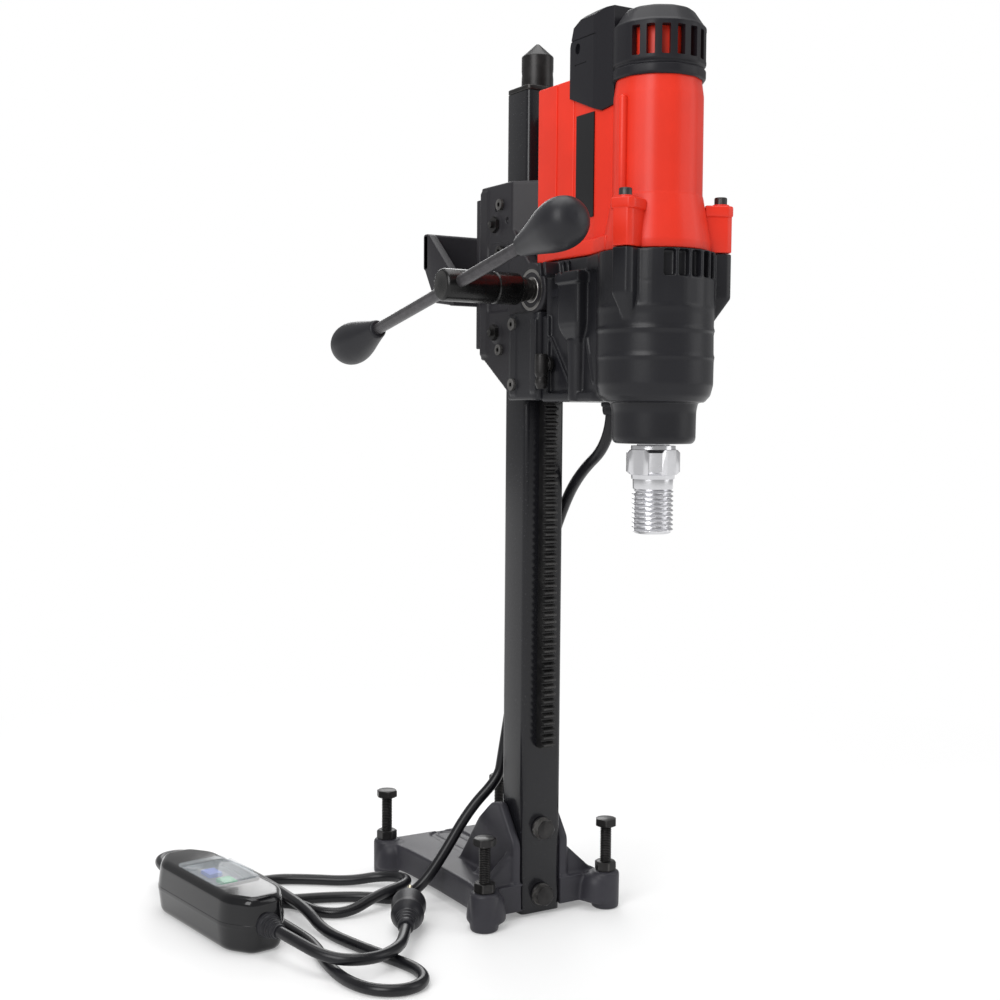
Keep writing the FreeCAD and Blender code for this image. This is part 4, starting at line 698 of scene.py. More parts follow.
def motorShell(spec):
    # shell rings from the flare at the seam up to the shoulder under the cap, with block, ribs and lugs
    axis, low, top = spec["axis"], spec["seam"] + 0.4, spec["top"]
    profile = [(38, low), (41.6, low), (41.8, low + 6.5), (35.6, low + 40), (35.0, low + 41.5),
               (34.8, low + 115), (33.2, low + 126), (33.0, top), (28, top), (28, top + spec["coreRise"]),
               (20, top + spec["coreRise"])]
    solids = [ringSolid(facetRings(profile, spec["sides"], axis, 0.16, 15))]
    rear = [(-25, -27), (-30, -32), (-30, -83), (30, -83), (30, -32), (25, -27)]
    solids.append(prism(rear, low, spec["blockTop"], 1.4, "Z", 1.5))
    label = [(-29, -80), (-29, -112), (-22, -136), (22, -136), (29, -112), (29, -80)]
    solids.append(prism(label, low, spec["blockTop"] - 2, 1.2, "Z", 2.0))
    skirt = [(-34, -47), (-34, -118), (-40.5, -143), (40.5, -143), (34, -118), (34, -47)]
    solids.append(prism(skirt, low, low + 12, 1.6, "Z", 3.0))
    for place in spec["lugs"]:
        solids.append(prism(lugPlan(place, 8.6, 7.6, 14), low, 590, 1.0, "Z", 1.2))
        solids.append(prism(lugPlan(place, 10.2, 8.2, 14), 587, 595.5, 1.6, "Z", 1.2))
        solids.append(rodSolid(6.6, 565, 597, place))
    for side in (-1, 1):
        solids.append(prism(circle((side * 35.3, -157), 3.4, 20), 598, 674, 3.2, "Z"))
        solids.append(prism([(side * 30.6, -60.4), (side * 30.6, -59.2), (side * 29, -59.2),
                             (side * 29, -60.4)][::side],
                            low, spec["blockTop"] - 2, 0.2, "Z"))
    return joined(*solids)


solidPiece("motorShell", motorShell(motorSpec), "redPlastic", "carriage", ["motor_housing"])

# motor cap: ring with slots, chamfered top; and the rear cover over the brush gear
capSpec = {"low": 686.5, "top": 738.8, "radius": 35.6, "slotLow": 700.8, "slotHigh": 722.5,
           "slots": 8, "slotStep": 19.0, "slotHalf": 3.2}


def ventCap(spec):
    # a wall carried round the motor's axis, less slots fanned about the front and the rear cover's room
    axis = motorSpec["axis"]
    low, top, out = spec["low"], spec["top"], spec["radius"]
    wall = [(out - 6, low + 3), (out - 1.4, low), (out + 0.3, low + 1.5), (out + 0.4, low + 7.6),
            (out - 1.2, low + 8.8), (out - 1.2, low + 10), (out + 0.5, low + 11.4), (out + 0.4, low + 39),
            (out - 1.6, low + 41), (out - 8.6, top - 1.4), (out - 10.6, top), (0.5, top),
            (0.5, top - 3), (out - 15, top - 3), (out - 6, top - 14)]
    body = turnedWall(wall, motorSpec["sides"], 0.14, 15)
    slots = []
    for step in range(spec["slots"]):
        degrees = 270 + (step - (spec["slots"] - 1) / 2) * spec["slotStep"]
        plan = spokePlan(axis, degrees, 26, 42, spec["slotHalf"])
        slots.append(prism(plan, spec["slotLow"], spec["slotHigh"], 0.8, "Z", 1.2))
    behind = [(-60, -131), (60, -131), (60, -100), (-60, -100)]
    slots.append(prism(behind, low - 5, top + 5, 0.1, "Z"))
    return cutPiece("ventCap", [body], slots)


def turnedWall(profile, sides, corner, turn):
    # a closed wall profile carried round a soft polygon
    angle = np.arange(sides) * 2 * math.pi / sides + math.radians(turn)
    unit = softCorners(np.stack([np.cos(angle), np.sin(angle)], axis=-1), corner, steps=3)
    shape = softCorners(profile, 0.8, steps=2)
    flat = shape[:, 0][:, None, None] * unit[None] + np.array(motorSpec["axis"])
    rings = onAxis(flat, shape[:, 1][:, None] + 0 * unit[:, 0], "Z")
    return loopSolid(rings)


finishPiece(ventCap(capSpec), "darkPlastic", "carriage", ["vent_cap"])


coverSpec = {"low": 664, "blank": 756, "front": -130.9, "splitHeight": 728.1, "recess": (-90, 721)}


def rearCover(spec):
    # a plan raised to the top, its upper rear and lower edges cut on a slant; a split line and screw recesses
    plan = [(-31.2, -78.5), (-31.4, -112), (-29.4, -118), (-25.5, -131.5), (25.5, -131.5), (29.4, -118),
            (31.4, -112), (31.2, -78.5)]
    split = spec["splitHeight"]
    body = prism(plan, spec["low"], spec["blank"], 0.05, "Z", 1.2, steps=1)
    cuts = [prism([(-60, 640), (-60, 678), (-79, 684.8), (-114, 671.2), (-119, 669.6), (-140, 675),
                   (-140, 640)],
                  -50, 50, 0.05, "X"),
            prism([(-60, 760), (-60, 700), (-78.6, 722), (-84, 738), (-98, 744.5), (-112, 746), (-140, 746),
                   (-140, 760)],
                  -50, 50, 0.05, "X"),
            block((-40, 40), (-134, spec["front"]), (640, 760), 0.05, 0.0)]
    for side in (-1, 1):
        cuts.append(prism([(side * 34.2, 739.6), (side * 25.0, 748.8), (side * 38, 760)], -142, -60, 0.05,
                          "Y"))
        cuts.append(prism([(-76, split - 0.5), (-76, split + 0.5), (-140, split + 0.5), (-140, split - 0.5)],
                          *sideSpan(side, 30.6, 40), 0.05, "X"))
        cuts.append(prism(circle(spec["recess"], (3.4, 4.2), 28), *sideSpan(side, 28, 40), 0.05, "X"))
        cuts.append(prism([(-86, 708.5), (-86, 709.3), (-102, 709.3), (-102, 708.5)],
                          *sideSpan(side, 30.7, 40), 0.05, "X"))
    return cutPiece("rearCover", [body], cuts)


finishPiece(rearCover(coverSpec), "darkPlastic", "carriage", ["rear_cover"])

# nameplate: a plain film in a shallow frame, without lettering
plate = block((-30.0, -29.0), (-111.3, -87.3), (590, 670), bevel=0.3, corner=0.0)
solidPiece("namePlate", plate, "labelFilm", "carriage", ["nameplate"])

# socket screws beside the motor
screwSpec = {"low": 595.5, "high": 602.5, "head": 4.9, "shaft": 3.0, "shaftLength": 30.0, "knurls": 18}


def socketScrew(centre, spec):
    # a cylinder head with a rounded rim and a knurled side, and its six-sided socket
    angle = np.linspace(0, 2 * math.pi, 96, endpoint=False)
    local = (angle + math.pi / 6) % (math.pi / 3) - math.pi / 6
    low, high, radius = spec["low"], spec["high"], spec["head"]
    knurl = 0.14 * np.abs(np.sin(angle * spec["knurls"]))
    rims = [(radius * 0.86, low), (radius, low + 0.3), (radius, high - 0.6), (radius - 0.5, high),
            (radius * 0.5, high), (radius * 0.5, high - 2.6)]
    rings = []
    for number, (reach, height) in enumerate(rims):
        if number in (1, 2):
            reach = reach - knurl
        elif number > 3:
            reach = reach / np.cos(local) * 0.9
        flat = np.stack([centre[0] + reach * np.cos(angle), centre[1] + reach * np.sin(angle)], axis=-1)
        rings.append(onAxis(flat, height + 0 * angle, "Z"))
    return joined(ringSolid(rings), rodSolid(spec["shaft"], low - spec["shaftLength"], low, centre))


screws = joined(*[socketScrew(place, screwSpec) for place in motorSpec["lugs"]])
solidPiece("housingScrews", screws, "blackSteel", "carriage", ["housing_screws"])
print("stage: motor")

# gearbox casting
gearboxSpec = {"top": 559.6, "low": 447.5, "lugLow": 526.0, "pocketFrom": 246.0, "pocketStep": 15.0,
               "pocketSlots": 5, "sideSlots": 4, "sideStep": 7.5, "tower": (29.5, -93.0),
               "seamGroove": (535.0, 536.4)}


def gearbox(spec):
    # round body, nose, lugs, rear box, flanges, towers and ribs, less the vent slots and a seam groove
    axis, top, low = motorSpec["axis"], spec["top"], spec["low"]
    main = [(0, 447), (38, 447), (42.5, 452), (44.6, 460), (44.8, 479), (45.3, 480.5), (45.3, 481.4),
            (44.6, 483), (44.4, 499), (45.2, 500.6), (45.2, 501.8), (44.4, 503.4), (44.6, 513), (45.2, 519),
            (0, 519)]
    solids = [turnedSolid(main, axis, corner=1.2, around=96)]
    solids.append(ringSolid(facetRings([(44, 513), (46, 518), (46, top), (40, top)], motorSpec["sides"], axis,
                                       0.16, 15)))
    nose = [(0, 415.5), (29.5, 415.5), (32, 418.5), (32.2, 440), (33.4, 446), (34.5, 450), (0, 450)]
    solids.append(turnedSolid(nose, axis, corner=1.5, around=96))
    for place in motorSpec["lugs"]:
        wide = lugPlan(place, 8.4, 7.6, 16)
        solids.append(prism(wide, spec["lugLow"], top, 0.8, "Z", 1.2))
        centre = np.array(place)
        inward = np.array(axis) - centre
        inward = inward / np.linalg.norm(inward)
        rings = []
        for height, scale, slide in ((spec["lugLow"], 1.0, 0), (508, 0.55, 9), (502, 0.3, 12)):
            rings.append(onAxis((softCorners(wide, 1.2) - centre) * scale + centre + inward * slide, height,
                                "Z"))
        solids.append(ringSolid(rings[::-1]))
    # rear box behind the round body, with its floor plate and the flange towards the bracket
    rear = [(-36, -140), (36, -140), (30, -100), (30, -54), (33, -50), (-33, -50), (-30, -54), (-30, -100)]
    solids.append(prism(rear, 452, top, 1.2, "Z", 2.0))
    under = [(34.5, -47), (34.5, -120), (30, -140), (-30, -140), (-34.5, -120), (-34.5, -47)]
    solids.append(prism(under, low, 455, 1.6, "Z", 2.5))
    solids.append(block((-34, 34), (-55, -46.4), (452, 517), 1.0, 1.5))
    flange = [(34, -47), (34, -110), (42, -140), (-42, -140), (-34, -110), (-34, -47)]
    solids.append(prism(flange, 548, top, 1.0, "Z", 2.0))
    for side in (-1, 1):
        # bearing tower: flange, square body, funnel and lower barrel
        place = (side * spec["tower"][0], spec["tower"][1])
        around = np.array([(-1, -1), (1, -1), (1, 1), (-1, 1)])
        square = place + around * (11.5, 15)
        wide = place + around * (13.2, 17)
        solids.append(prism(wide, 540, 549, 1.0, "Z", 3.0))
        solids.append(prism(square, 508, 542, 0.6, "Z", 4.0))
        lower = circle((place[0] + side * 0.5, place[1]), 9.0, 28)
        rings = []
        big = softCorners(square, 4.0, steps=7)
        angle = np.arctan2(big[:, 1] - place[1], big[:, 0] - place[0])
        small = np.stack([place[0] + side * 0.5 + 9.4 * np.cos(angle), place[1] + 9.4 * np.sin(angle)],
                         axis=-1)
        for mixIn, height in ((0.0, 510), (0.15, 505), (0.6, 499), (1.0, 496), (1.0, 494)):
            rings.append(onAxis(big * (1 - mixIn) + small * mixIn, height, "Z"))
        solids.append(ringSolid(rings[::-1]))
        rings = [onAxis((lower - place) * size + place, height, "Z")
                 for height, size in ((448, 0.80), (450, 0.84), (470, 0.91), (496, 1.0))]
        solids.append(ringSolid(rings))
        # slanting ribs between the barrel and the flange, and between the barrel and the round body
        for start, finish in (((-56, 500), (-84, 462)), ((-108, 498), (-118, 462))):
            (y0, z0), (y1, z1) = start, finish
            solids.append(prism([(y0 - 1.6, z0), (y0 + 1.6, z0), (y1 + 1.6, z1), (y1 - 1.6, z1)],
                                *sideSpan(side, 28, 33.5), 0.8, "X", 0.6))
    cuts = []
    for number in range(spec["pocketSlots"]):
        # vent pocket in front: five slots under the seam between thin bars
        pocket = spokePlan(axis, spec["pocketFrom"] + number * spec["pocketStep"], 38, 56, 4.4)
        cuts.append(prism(pocket, 539.5, 558.6, 0.6, "Z", 0.8))
    for side in (-1, 1):
        for number in range(spec["sideSlots"]):
            y = -66 - number * spec["sideStep"]
            cuts.append(prism([(y, 547), (y + 3.4, 547), (y + 5.6, 558), (y + 2.2, 558)],
                              *sideSpan(side, 30, 48), 0.4, "X", 0.6))
    # seam line around the upper body
    cuts.append(turnedRing(axis, 44.9, 50, *spec["seamGroove"]))
    return castPiece("gearboxCasting", solids, cuts, voxel=0.92, smooth=2)


def turnedRing(axis, inner, outer, low, high, around=96):
    # a square-section ring about an upright axis
    angle = np.linspace(0, 2 * math.pi, around, endpoint=False)
    rings = [onAxis(np.stack([axis[0] + r * np.cos(angle), axis[1] + r * np.sin(angle)], axis=-1), z, "Z")
             for r, z in ((inner, low), (outer, low), (outer, high), (inner, high))]
    return loopSolid(np.array(rings))


finishPiece(gearbox(gearboxSpec), "castGearbox", "carriage", ["gear_housing"], angle=0)
print("stage: gearbox")

# spindle: square flats on the collar, neck and a long screw thread
spindleSpec = {"axis": (0.0, -153.3), "tip": 346.5, "neck": 388.5, "collarLow": 391.5, "collarHigh": 414.0,
               "threadRadius": 15.875, "pitch": 3.629, "collarRadius": 20.6, "flat": 17.6, "turn": 14.0}


def spindlePiece(spec):
    # collar radius is the smaller of the round blank, the four flats and a chamfer cone at each end
    axis = spec["axis"]
    angle = np.linspace(0, 2 * math.pi, 160, endpoint=False)
    local = (angle - math.radians(spec["turn"]) + math.pi / 4) % (math.pi / 2) - math.pi / 4
    flats = spec["flat"] / np.cos(local)
    rings = []
    for height, cone in ((spec["collarLow"] - 3.0, 16.6), (spec["collarLow"], 16.8),
                         (spec["collarLow"] + 0.4, 18.2), (spec["collarLow"] + 2.6, 20.6),
                         (spec["collarHigh"] - 5.4, 20.6), (spec["collarHigh"] - 3.2, 18.6),
                         (spec["collarHigh"] - 2.9, 17.2), (spec["collarHigh"], 17.0)):
        reach = np.minimum(np.minimum(flats, cone), spec["collarRadius"])
        flat = np.stack([axis[0] + reach * np.cos(angle), axis[1] + reach * np.sin(angle)], axis=-1)
        rings.append(onAxis(flat, height + 0 * angle, "Z"))
    solids = [ringSolid(rings)]
    solids.append(threadSolid(axis, spec["threadRadius"], spec["pitch"], 1.9, spec["tip"] + 0.6,
                              spec["neck"] - 8, around=120, perTurn=12, taper=1.6))
    solids.append(turnedSolid([(0, spec["neck"] - 9), (14.0, spec["neck"] - 9), (15.4, spec["neck"] - 7.4),
                               (15.6, spec["neck"] + 0.4), (0, spec["neck"] + 0.4)], axis, corner=0.3,
                               around=120))
    solids.append(turnedSolid([(4, spec["tip"] + 3), (4.6, spec["tip"]), (12.6, spec["tip"]),
                               (14.0, spec["tip"] + 1.4), (14.0, spec["tip"] + 3)], axis, corner=0.3,
                               around=96))
    solids.append(rodSolid(12.5, 413, 489, axis, corner=0.2, around=64))
    return joined(*solids)


solidPiece("spindle", spindlePiece(spindleSpec), "brightSteel", "spindle", ["spindle"])
print("stage: spindle")

# column, end cap, jack screw
columnSpec = {"half": 19.8, "deep": 35.0, "low": 2.8, "top": 708.5, "capLow": 708.9, "capTop": 713.1,
              "corner": 4.6}


def columnSolid(low, high, bevel, steps):
    # a rounded rectangle raised between two heights
    half, deep = columnSpec["half"], columnSpec["deep"]
    plan = [(-half, 0), (half, 0), (half, deep), (-half, deep)]
    return prism(plan, low, high, bevel, "Z", columnSpec["corner"], steps)


solidPiece("columnTube", columnSolid(columnSpec["low"], columnSpec["top"], 0.3, 2), "glossBlack", "stand",
           ["column_tube"])
solidPiece("columnCap", columnSolid(columnSpec["capLow"], columnSpec["capTop"], 0.9, 3), "blackSteel",
           "stand", ["column_cap"])
jackSpec = {"axis": (0.0, 17.5), "radius": 13.6, "low": 713.3, "shoulder": 741.0, "tip": 751.0, "hole": 725.3,
            "turn": -31}


def jackPiece(spec):
    # a turned head with a rounded cone and a cross hole for a bar; the trapezoid thread below is the separate
    # jackStem
    head = turnedSolid([(0, spec["low"]), (spec["radius"] - 0.8, spec["low"]),
                        (spec["radius"], spec["low"] + 0.8), (spec["radius"], spec["shoulder"] - 1),
                        (spec["radius"] - 1, spec["shoulder"]), (1.4, spec["tip"]), (0, spec["tip"])],
                        spec["axis"], corner=0.5, around=96)
    bar = rodSolid(3.6, -30, 30, around=48)
    turn = Matrix.Rotation(math.radians(spec["turn"]), 4, "Z") @ Matrix.Rotation(math.pi / 2, 4, "Y")
    hole = moved(bar, turn, (spec["axis"][0], spec["axis"][1], spec["hole"]))
    return cutPiece("jackHead", [head], [hole])


finishPiece(jackPiece(jackSpec), "blackSteel", "jack", ["jack_screw"])
stem = threadSolid(jackSpec["axis"], 10, 3.0, 1.5, 652.0, 713.5, around=48, perTurn=8)
solidPiece("jackStem", stem, "blackSteel", "jack")

# column bolts and washers
boltSpec = {"heights": (18.8, 77.5), "across": 16, "head": (-8.2, -1.6), "shank": (-2.0, 46.5), "radius": 5,
            "pitch": 1.5}
bolts, washers = [], []
for height, turn in zip(boltSpec["heights"], (12, 24)):
    bolts.append(hexSolid((0, height), boltSpec["across"], *boltSpec["head"], chamferHigh=False,
                          chamferLow=True, axis="Y", turn=turn))
    bolts.append(threadSolid((0, height), boltSpec["radius"], boltSpec["pitch"], 0.8, *boltSpec["shank"],
                             axis="Y"))
    washers.append(turnedSolid([(0, -1.7), (9.6, -1.7), (10, -1.3), (10, 0), (0, 0)], (0, height), "Y",
                               corner=0.3))
solidPiece("columnBolts", joined(*bolts), "blackSteel", "stand", ["column_bolts"])
solidPiece("columnWashers", joined(*washers), "blackSteel", "stand", ["column_washers"])

# levelling bolts and their lock nuts
levelSpec = {"radius": 5.0, "pitch": 1.5, "shank": (3.0, 73.8), "head": (73.4, 80.0), "headAcross": 17.6,
             "nut": (33.4, 41.6), "nutAcross": 16.5}
bossPlaces = {"front_left": (-62.5, -9), "front_right": (62.5, -9), "rear_left": (-62.5, 175),
              "rear_right": (62.5, 175)}
nuts = []
for number, (corner, place) in enumerate(bossPlaces.items()):
    bolt = joined(threadSolid(place, levelSpec["radius"], levelSpec["pitch"], 0.85, *levelSpec["shank"],
                              around=40, perTurn=8),
                  hexSolid(place, levelSpec["headAcross"], *levelSpec["head"], chamferHigh=True,
                           chamferLow=True, turn=8 + 17 * number))
    solidPiece("levelBolt_" + corner, bolt, "blackSteel", "level_" + corner,
               ["levelling_bolt_" + corner])
    nuts.append(hexSolid(place, levelSpec["nutAcross"], *levelSpec["nut"], chamferHigh=True, chamferLow=True,
                         turn=20 + 23 * number))
solidPiece("levelNuts", joined(*nuts), "blackSteel", "stand", ["levelling_nuts"])
print("stage: column and bolts")

# cast foot
footSpec = {"side": 63.5, "plate": (6.5, 30.6), "bossTop": 33.4, "bossRadius": 12.4, "boltHole": 4.7,
            "cheek": (20, 28.6), "seatHalf": 20.0, "slotRadius": 8.5, "slot": (112, 172)}


def footCasting(spec):
    # plate, bosses, cheeks, web and gussets melted together, less the column seat, slot and hollow
    side, bossTop, bossRadius = spec["side"], spec["bossTop"], spec["bossRadius"]
    plan = [(-side, -9), (-side + 5, 28), (-side + 6, 83), (-side + 5, 138), (-side, 175), (-54, 184),
            (54, 184), (side, 175), (side - 5, 138), (side - 6, 83), (side - 5, 28), (side, -9), (50, -1),
            (-50, -1)]
    solids = [prism(plan, *spec["plate"], 2.4, "Z", 7.0)]
    boss = [(0, 0), (bossRadius - 1.4, 0), (bossRadius - 0.2, 1.4), (bossRadius, bossTop - 1.8),
            (bossRadius - 1.8, bossTop), (0, bossTop)]
    for place in bossPlaces.values():
        solids.append(turnedSolid(boss, place, corner=1.4, around=64))
        inward = np.array((-math.copysign(1, place[0]), 1 if place[1] < 0 else -1.0)) * 9
        skirt = [(0, 6), (17.5, 6), (15.5, 25), (11, 31.6), (0, 31.6)]
        solids.append(turnedSolid(skirt, place + inward * 0.5, corner=4, around=48))
    cheek = [(0.2, 8), (0.2, 66), (23, 96.5), (27, 97.5), (39, 95), (43, 92), (61, 77), (97, 30), (97, 8)]
    for sign in (-1, 1):
        solids.append(prism(cheek, *sideSpan(sign, *spec["cheek"]), 2.4, "X", 4.0))
    solids.append(block((-27, 27), (35.2, 46), (8, 88), 2.0, 2.0))
    for sign in (-1, 1):
        gusset = [(sign * 20, 8), (sign * 62, 8), (sign * 62, 31), (sign * 54, 34.5), (sign * 26, 60),
                  (sign * 20, 62)]
        solids.append(prism(gusset, 3.0, 12.0, 2.4, "Y", 3.0))
        toe = [(sign * 24, 8), (sign * 46, 8), (sign * 38, 34), (sign * 24, 48)]
        solids.append(prism(toe, 40.0, 49.0, 2.4, "Y", 3.0))
    cuts = [block((-spec["seatHalf"], spec["seatHalf"]), (-20, 35.2), (-3, 110), 0.2, 0.0),
            block((-50.5, 50.5), (53, 168), (-4, 24), 2.0, 6.0)]
    cuts.append(prism(longHole((spec["slotRadius"], spec["slotRadius"]), *spec["slot"]), 18, 36, 0.3, "Z"))
    cuts.append(prism(longHole((17.5, 15), 114, 168), 28.3, 38, 1.0, "Z"))
    for place in bossPlaces.values():
        cuts.append(rodSolid(spec["boltHole"], -3, 40, place, around=40))
    return castPiece("footCasting", solids, cuts, voxel=1.2, smooth=4)


finishPiece(footCasting(footSpec), "castBase", "stand", ["base_plate"], angle=0)
print("stage: foot")

# carriage, its back plate, bracket and carrying handle
feedAxis = (-28.1, 539.4)
carriageSpec = {"low": 484, "high": 632, "half": 34, "lugRadius": 22.5, "lugSpan": (22, 34.2),
                "bearingSeat": 17.8}
carriagePlan = [(-34, 53), (-34, 2), (-12, -20), (12, -20), (34, 2), (34, 53)]


def lugSolids(radius, inner, outer):
    # the two bearing lugs as turned discs along x
    return [turnedSolid([(0, a), (radius - 1, a), (radius, a + 1), (radius, b - 1), (radius - 1, b), (0, b)],
                        feedAxis, "X", corner=0.8, around=96) for a, b in ((-outer, -inner), (inner, outer))]


def carriageCasting(spec):
    # the plan raised between its ends with lugs, webs, tail, strips and pads, less the column's way and
    # recesses
    half = spec["half"]
    solids = [prism(carriagePlan, spec["low"], spec["high"], 1.6, "Z", 1.2)]
    solids += lugSolids(spec["lugRadius"], *spec["lugSpan"])
    web = [(10, 593), (2, 593), (-24, 562), (-44, 553), (-50, 539), (-44, 522), (-28, 517), (10, 517)]
    tail = [(50, 486), (3, 453), (3, 486)]
    for side in (-1, 1):
        solids.append(prism(web, *sideSpan(side, 22, half), 1.2, "X", 3.0))
    for side in (-1, 1):
        solids.append(prism(tail, *sideSpan(side, 25, half), 1.0, "X", 2.0))
    for side in (-1, 1):
        # raised strip down the rear edge of each side, and pads under the screws
        solids.append(prism([(40, 488), (52.6, 488), (52.6, 628), (40, 628)], *sideSpan(side, 33, 35.2), 0.8,
                            "X", 1.5))
        for y, z in ((27, 507), (27, 598)):
            solids.append(prism(circle((y, z), 8, 28), *sideSpan(side, 33, 34.8), 0.5, "X"))
    cuts = [block((-24, 24), (-1, 39.2), (440, 640), 0.2, 0.0),
            block((-7.5, 7.5), (-14, 2), (440, 640), 0.2, 0.0)]
    for side in (-1, 1):
        span = sideSpan(side, 31, 40)
        cuts.append(prism([(23, 609), (30, 609), (30, 616), (23, 616)], *span, 0.3, "X", 0.5))
        cuts.append(prism([(6, 524), (40, 524), (40, 583), (6, 583)], *sideSpan(side, 33.2, 40), 0.4, "X",
                          4.0))
        cuts.append(prism(circle(feedAxis, spec["bearingSeat"], 60), *sideSpan(side, 33.2, 40), 0.2, "X"))
        for y, z in ((19, 533), (19, 556), (10, 600)):
            cuts.append(prism(circle((y, z), 2.6, 20), *span, 0.2, "X"))
    return castPiece("carriageCasting", solids, cuts, voxel=1.0, smooth=2)


finishPiece(carriageCasting(carriageSpec), "castCarriage", "carriage", ["carriage"], angle=0)
solidPiece("backPlate", block((-35, 35), (53, 59), (494, 622), 1.0, 1.2), "castCarriage",
           "carriage", ["carriage_back_plate"])

bracketSpec = {"half": 38, "front": -46, "low": 449, "high": 521, "lugRoom": 22.9, "pinionRoom": 21.2}


def bracketCasting(spec):
    # a block with round front edges and side ribs, less the carriage's own plan and the lugs above
    half, front = spec["half"], spec["front"]
    plan = [(-half, 0), (-half, front), (half, front), (half, 0)]
    solids = [prism(plan, spec["low"], spec["high"], 2.0, "Z", np.array([1.0, 7.0, 7.0, 1.0]))]
    for side in (-1, 1):
        solids.append(prism([(-44, 455), (-36, 455), (-36, 515), (-44, 515)], *sideSpan(side, 30, 38.9), 0.9,
                            "X", 1.5))
        solids.append(prism([(-14, 453), (-4, 453), (-4, 519), (-14, 519)], *sideSpan(side, 30, 38.8), 0.9,
                            "X", 2.0))
    grow = [(-33.6, 60), (-33.6, 2.2), (-11.9, -19.6), (11.9, -19.6), (33.6, 2.2), (33.6, 60)]
    cuts = [prism(grow, 440, 530, 0.1, "Z")]
    for side in (-1, 1):
        cuts.append(rodSolid(spec["lugRoom"], *sideSpan(side, 21.6, 34.6), feedAxis, "X", corner=0.1,
                             around=64))
    cuts.append(rodSolid(spec["pinionRoom"], -9, 9, feedAxis, "X", corner=0.1, around=64))
    cuts.append(block((-8, 8), (-30, 4), (440, 530), 0.2, 0.0))
    return castPiece("bracketCasting", solids, cuts, voxel=0.9, smooth=2)


finishPiece(bracketCasting(bracketSpec), "castGearbox", "carriage", ["mount_block"], angle=0)

handleSpec = {"half": 58, "armInner": 50, "grip": (105, 114), "gripHeights": (565, 597)}


def handlePiece(spec):
    # grip, two tapering arms and the foot plate, every rim rounded
    half, (near, far), (low, high) = spec["half"], spec["grip"], spec["gripHeights"]
    solids = [prism([(near, low), (far, low), (far, high), (near, high)], -half, half, 1.2, "X", 3.2)]
    arm = [(64.6, 531.5), (64.6, 561.5), (104, 596), (112.5, 596), (112.5, 567), (92, 535)]
    for side in (-1, 1):
        solids.append(prism(arm, *sideSpan(side, spec["armInner"], half), 1.0, "X", 2.0))
    solids.append(prism([(59, 531), (65, 531), (65, 562), (59, 562)], -half, half, 0.9, "X", 0.8))
    return joined(*solids)


solidPiece("carryHandle", handlePiece(handleSpec), "castCarriage", "carriage",
           ["carry_handle"])
print("stage: carriage")

# feed crank: hub, stepped shaft, rod, knobs; ball bearings in the lugs
crankSpec = {"plane": -106.0, "tilt": 11.7, "front": 160.0, "rear": 194.0, "rod": 5.0, "rodLength": 294,
             "knobSeat": 56, "rodInset": 30}


def alongX(profile, corner=0.6, around=72):
    # turned about the feed shaft; the profile is (radius, x)
    return turnedSolid(profile, feedAxis, "X", corner=corner, around=around)


hub = [(0, -118), (11.4, -118), (13, -116.4), (13, -72), (12.4, -71.2), (12.4, -69.8), (13, -69), (13, -48),
       (11.5, -46), (0, -46)]
solidPiece("feedHub", alongX(hub, 0.8, 96), "hubSteel", "crank", ["feed_hub"])
shaft = [(0, -47), (10.2, -47), (10.2, -41.5), (9.2, -40.5), (9.2, -37), (7.5, -36), (7.5, 37.2), (6.7, 38),
         (0, 38)]
solidPiece("feedShaft", alongX(shaft, 0.3), "blackSteel", "crank", ["feed_shaft"])

bearingSpec = {"face": 33.6, "outer": 17.5, "bore": 7.55, "width": 10}


def bearingRings(spec):
    # outer ring, shield with a pressed groove, and inner ring, on both sides
    solids = []
    for side in (-1, 1):
        face = side * spec["face"]
        for profile in ([(14.4, 0), (17.0, 0), (spec["outer"], -0.5), (spec["outer"], -spec["width"]),
                         (14.4, -spec["width"])],
                        [(11.2, -0.9), (12.6, -0.5), (13.0, -0.9), (14.6, -0.9), (14.6, -9), (11.2, -9)],
                        [(spec["bore"], 0), (10.3, 0), (10.8, -0.5), (10.8, -spec["width"]),
                         (spec["bore"], -spec["width"])]):
            line = [(radius, face + side * step) for radius, step in profile][::side]
            solids.append(turnedSolid(line, feedAxis, "X", corner=0.25, around=72, closed=True))
    return joined(*solids)


solidPiece("feedBearings", bearingRings(bearingSpec), "bearingSteel", "carriage",
           ["feed_bearings"])


def towards(sign):
    # turns +Z towards the drill side (sign 1) or the back (sign -1) in the crank's plane
    return Matrix.Rotation(math.radians(sign * 90 - crankSpec["tilt"]), 4, "X")


def crankPart(solid, sign, start):
    # a solid drawn up along Z, laid along the rod so that it begins at a distance from the hub
    away = towards(sign) @ Vector((0, 0, 1))
    shift = (crankSpec["plane"], feedAxis[0] + start * away.y, feedAxis[1] + start * away.z)
    return moved(solid, towards(sign), shift)


rod = rodSolid(crankSpec["rod"], 0, crankSpec["rodLength"], corner=0.5, around=48)
solidPiece("crankRod", crankPart(rod, 1, crankSpec["rodInset"] - crankSpec["rear"]), "rodSteel", "crank",
           ["crank_rod"])
knobLine = [(0, 0.0), (7.2, 0.0), (8.2, 1.6), (9.4, 8), (13.2, 24), (16.8, 38), (18.9, 50), (18.6, 60),
            (15.4, 68.5), (9.0, 73.6), (0, 75)]
knob = turnedSolid(knobLine, corner=7.0, around=96)
knobs = joined(crankPart(knob, 1, crankSpec["front"] - crankSpec["knobSeat"]),
               crankPart(knob, -1, crankSpec["rear"] - crankSpec["knobSeat"]))
solidPiece("crankKnobs", knobs, "knobPlastic", "crank", ["crank_knobs"], angle=60)
print("stage: crank")

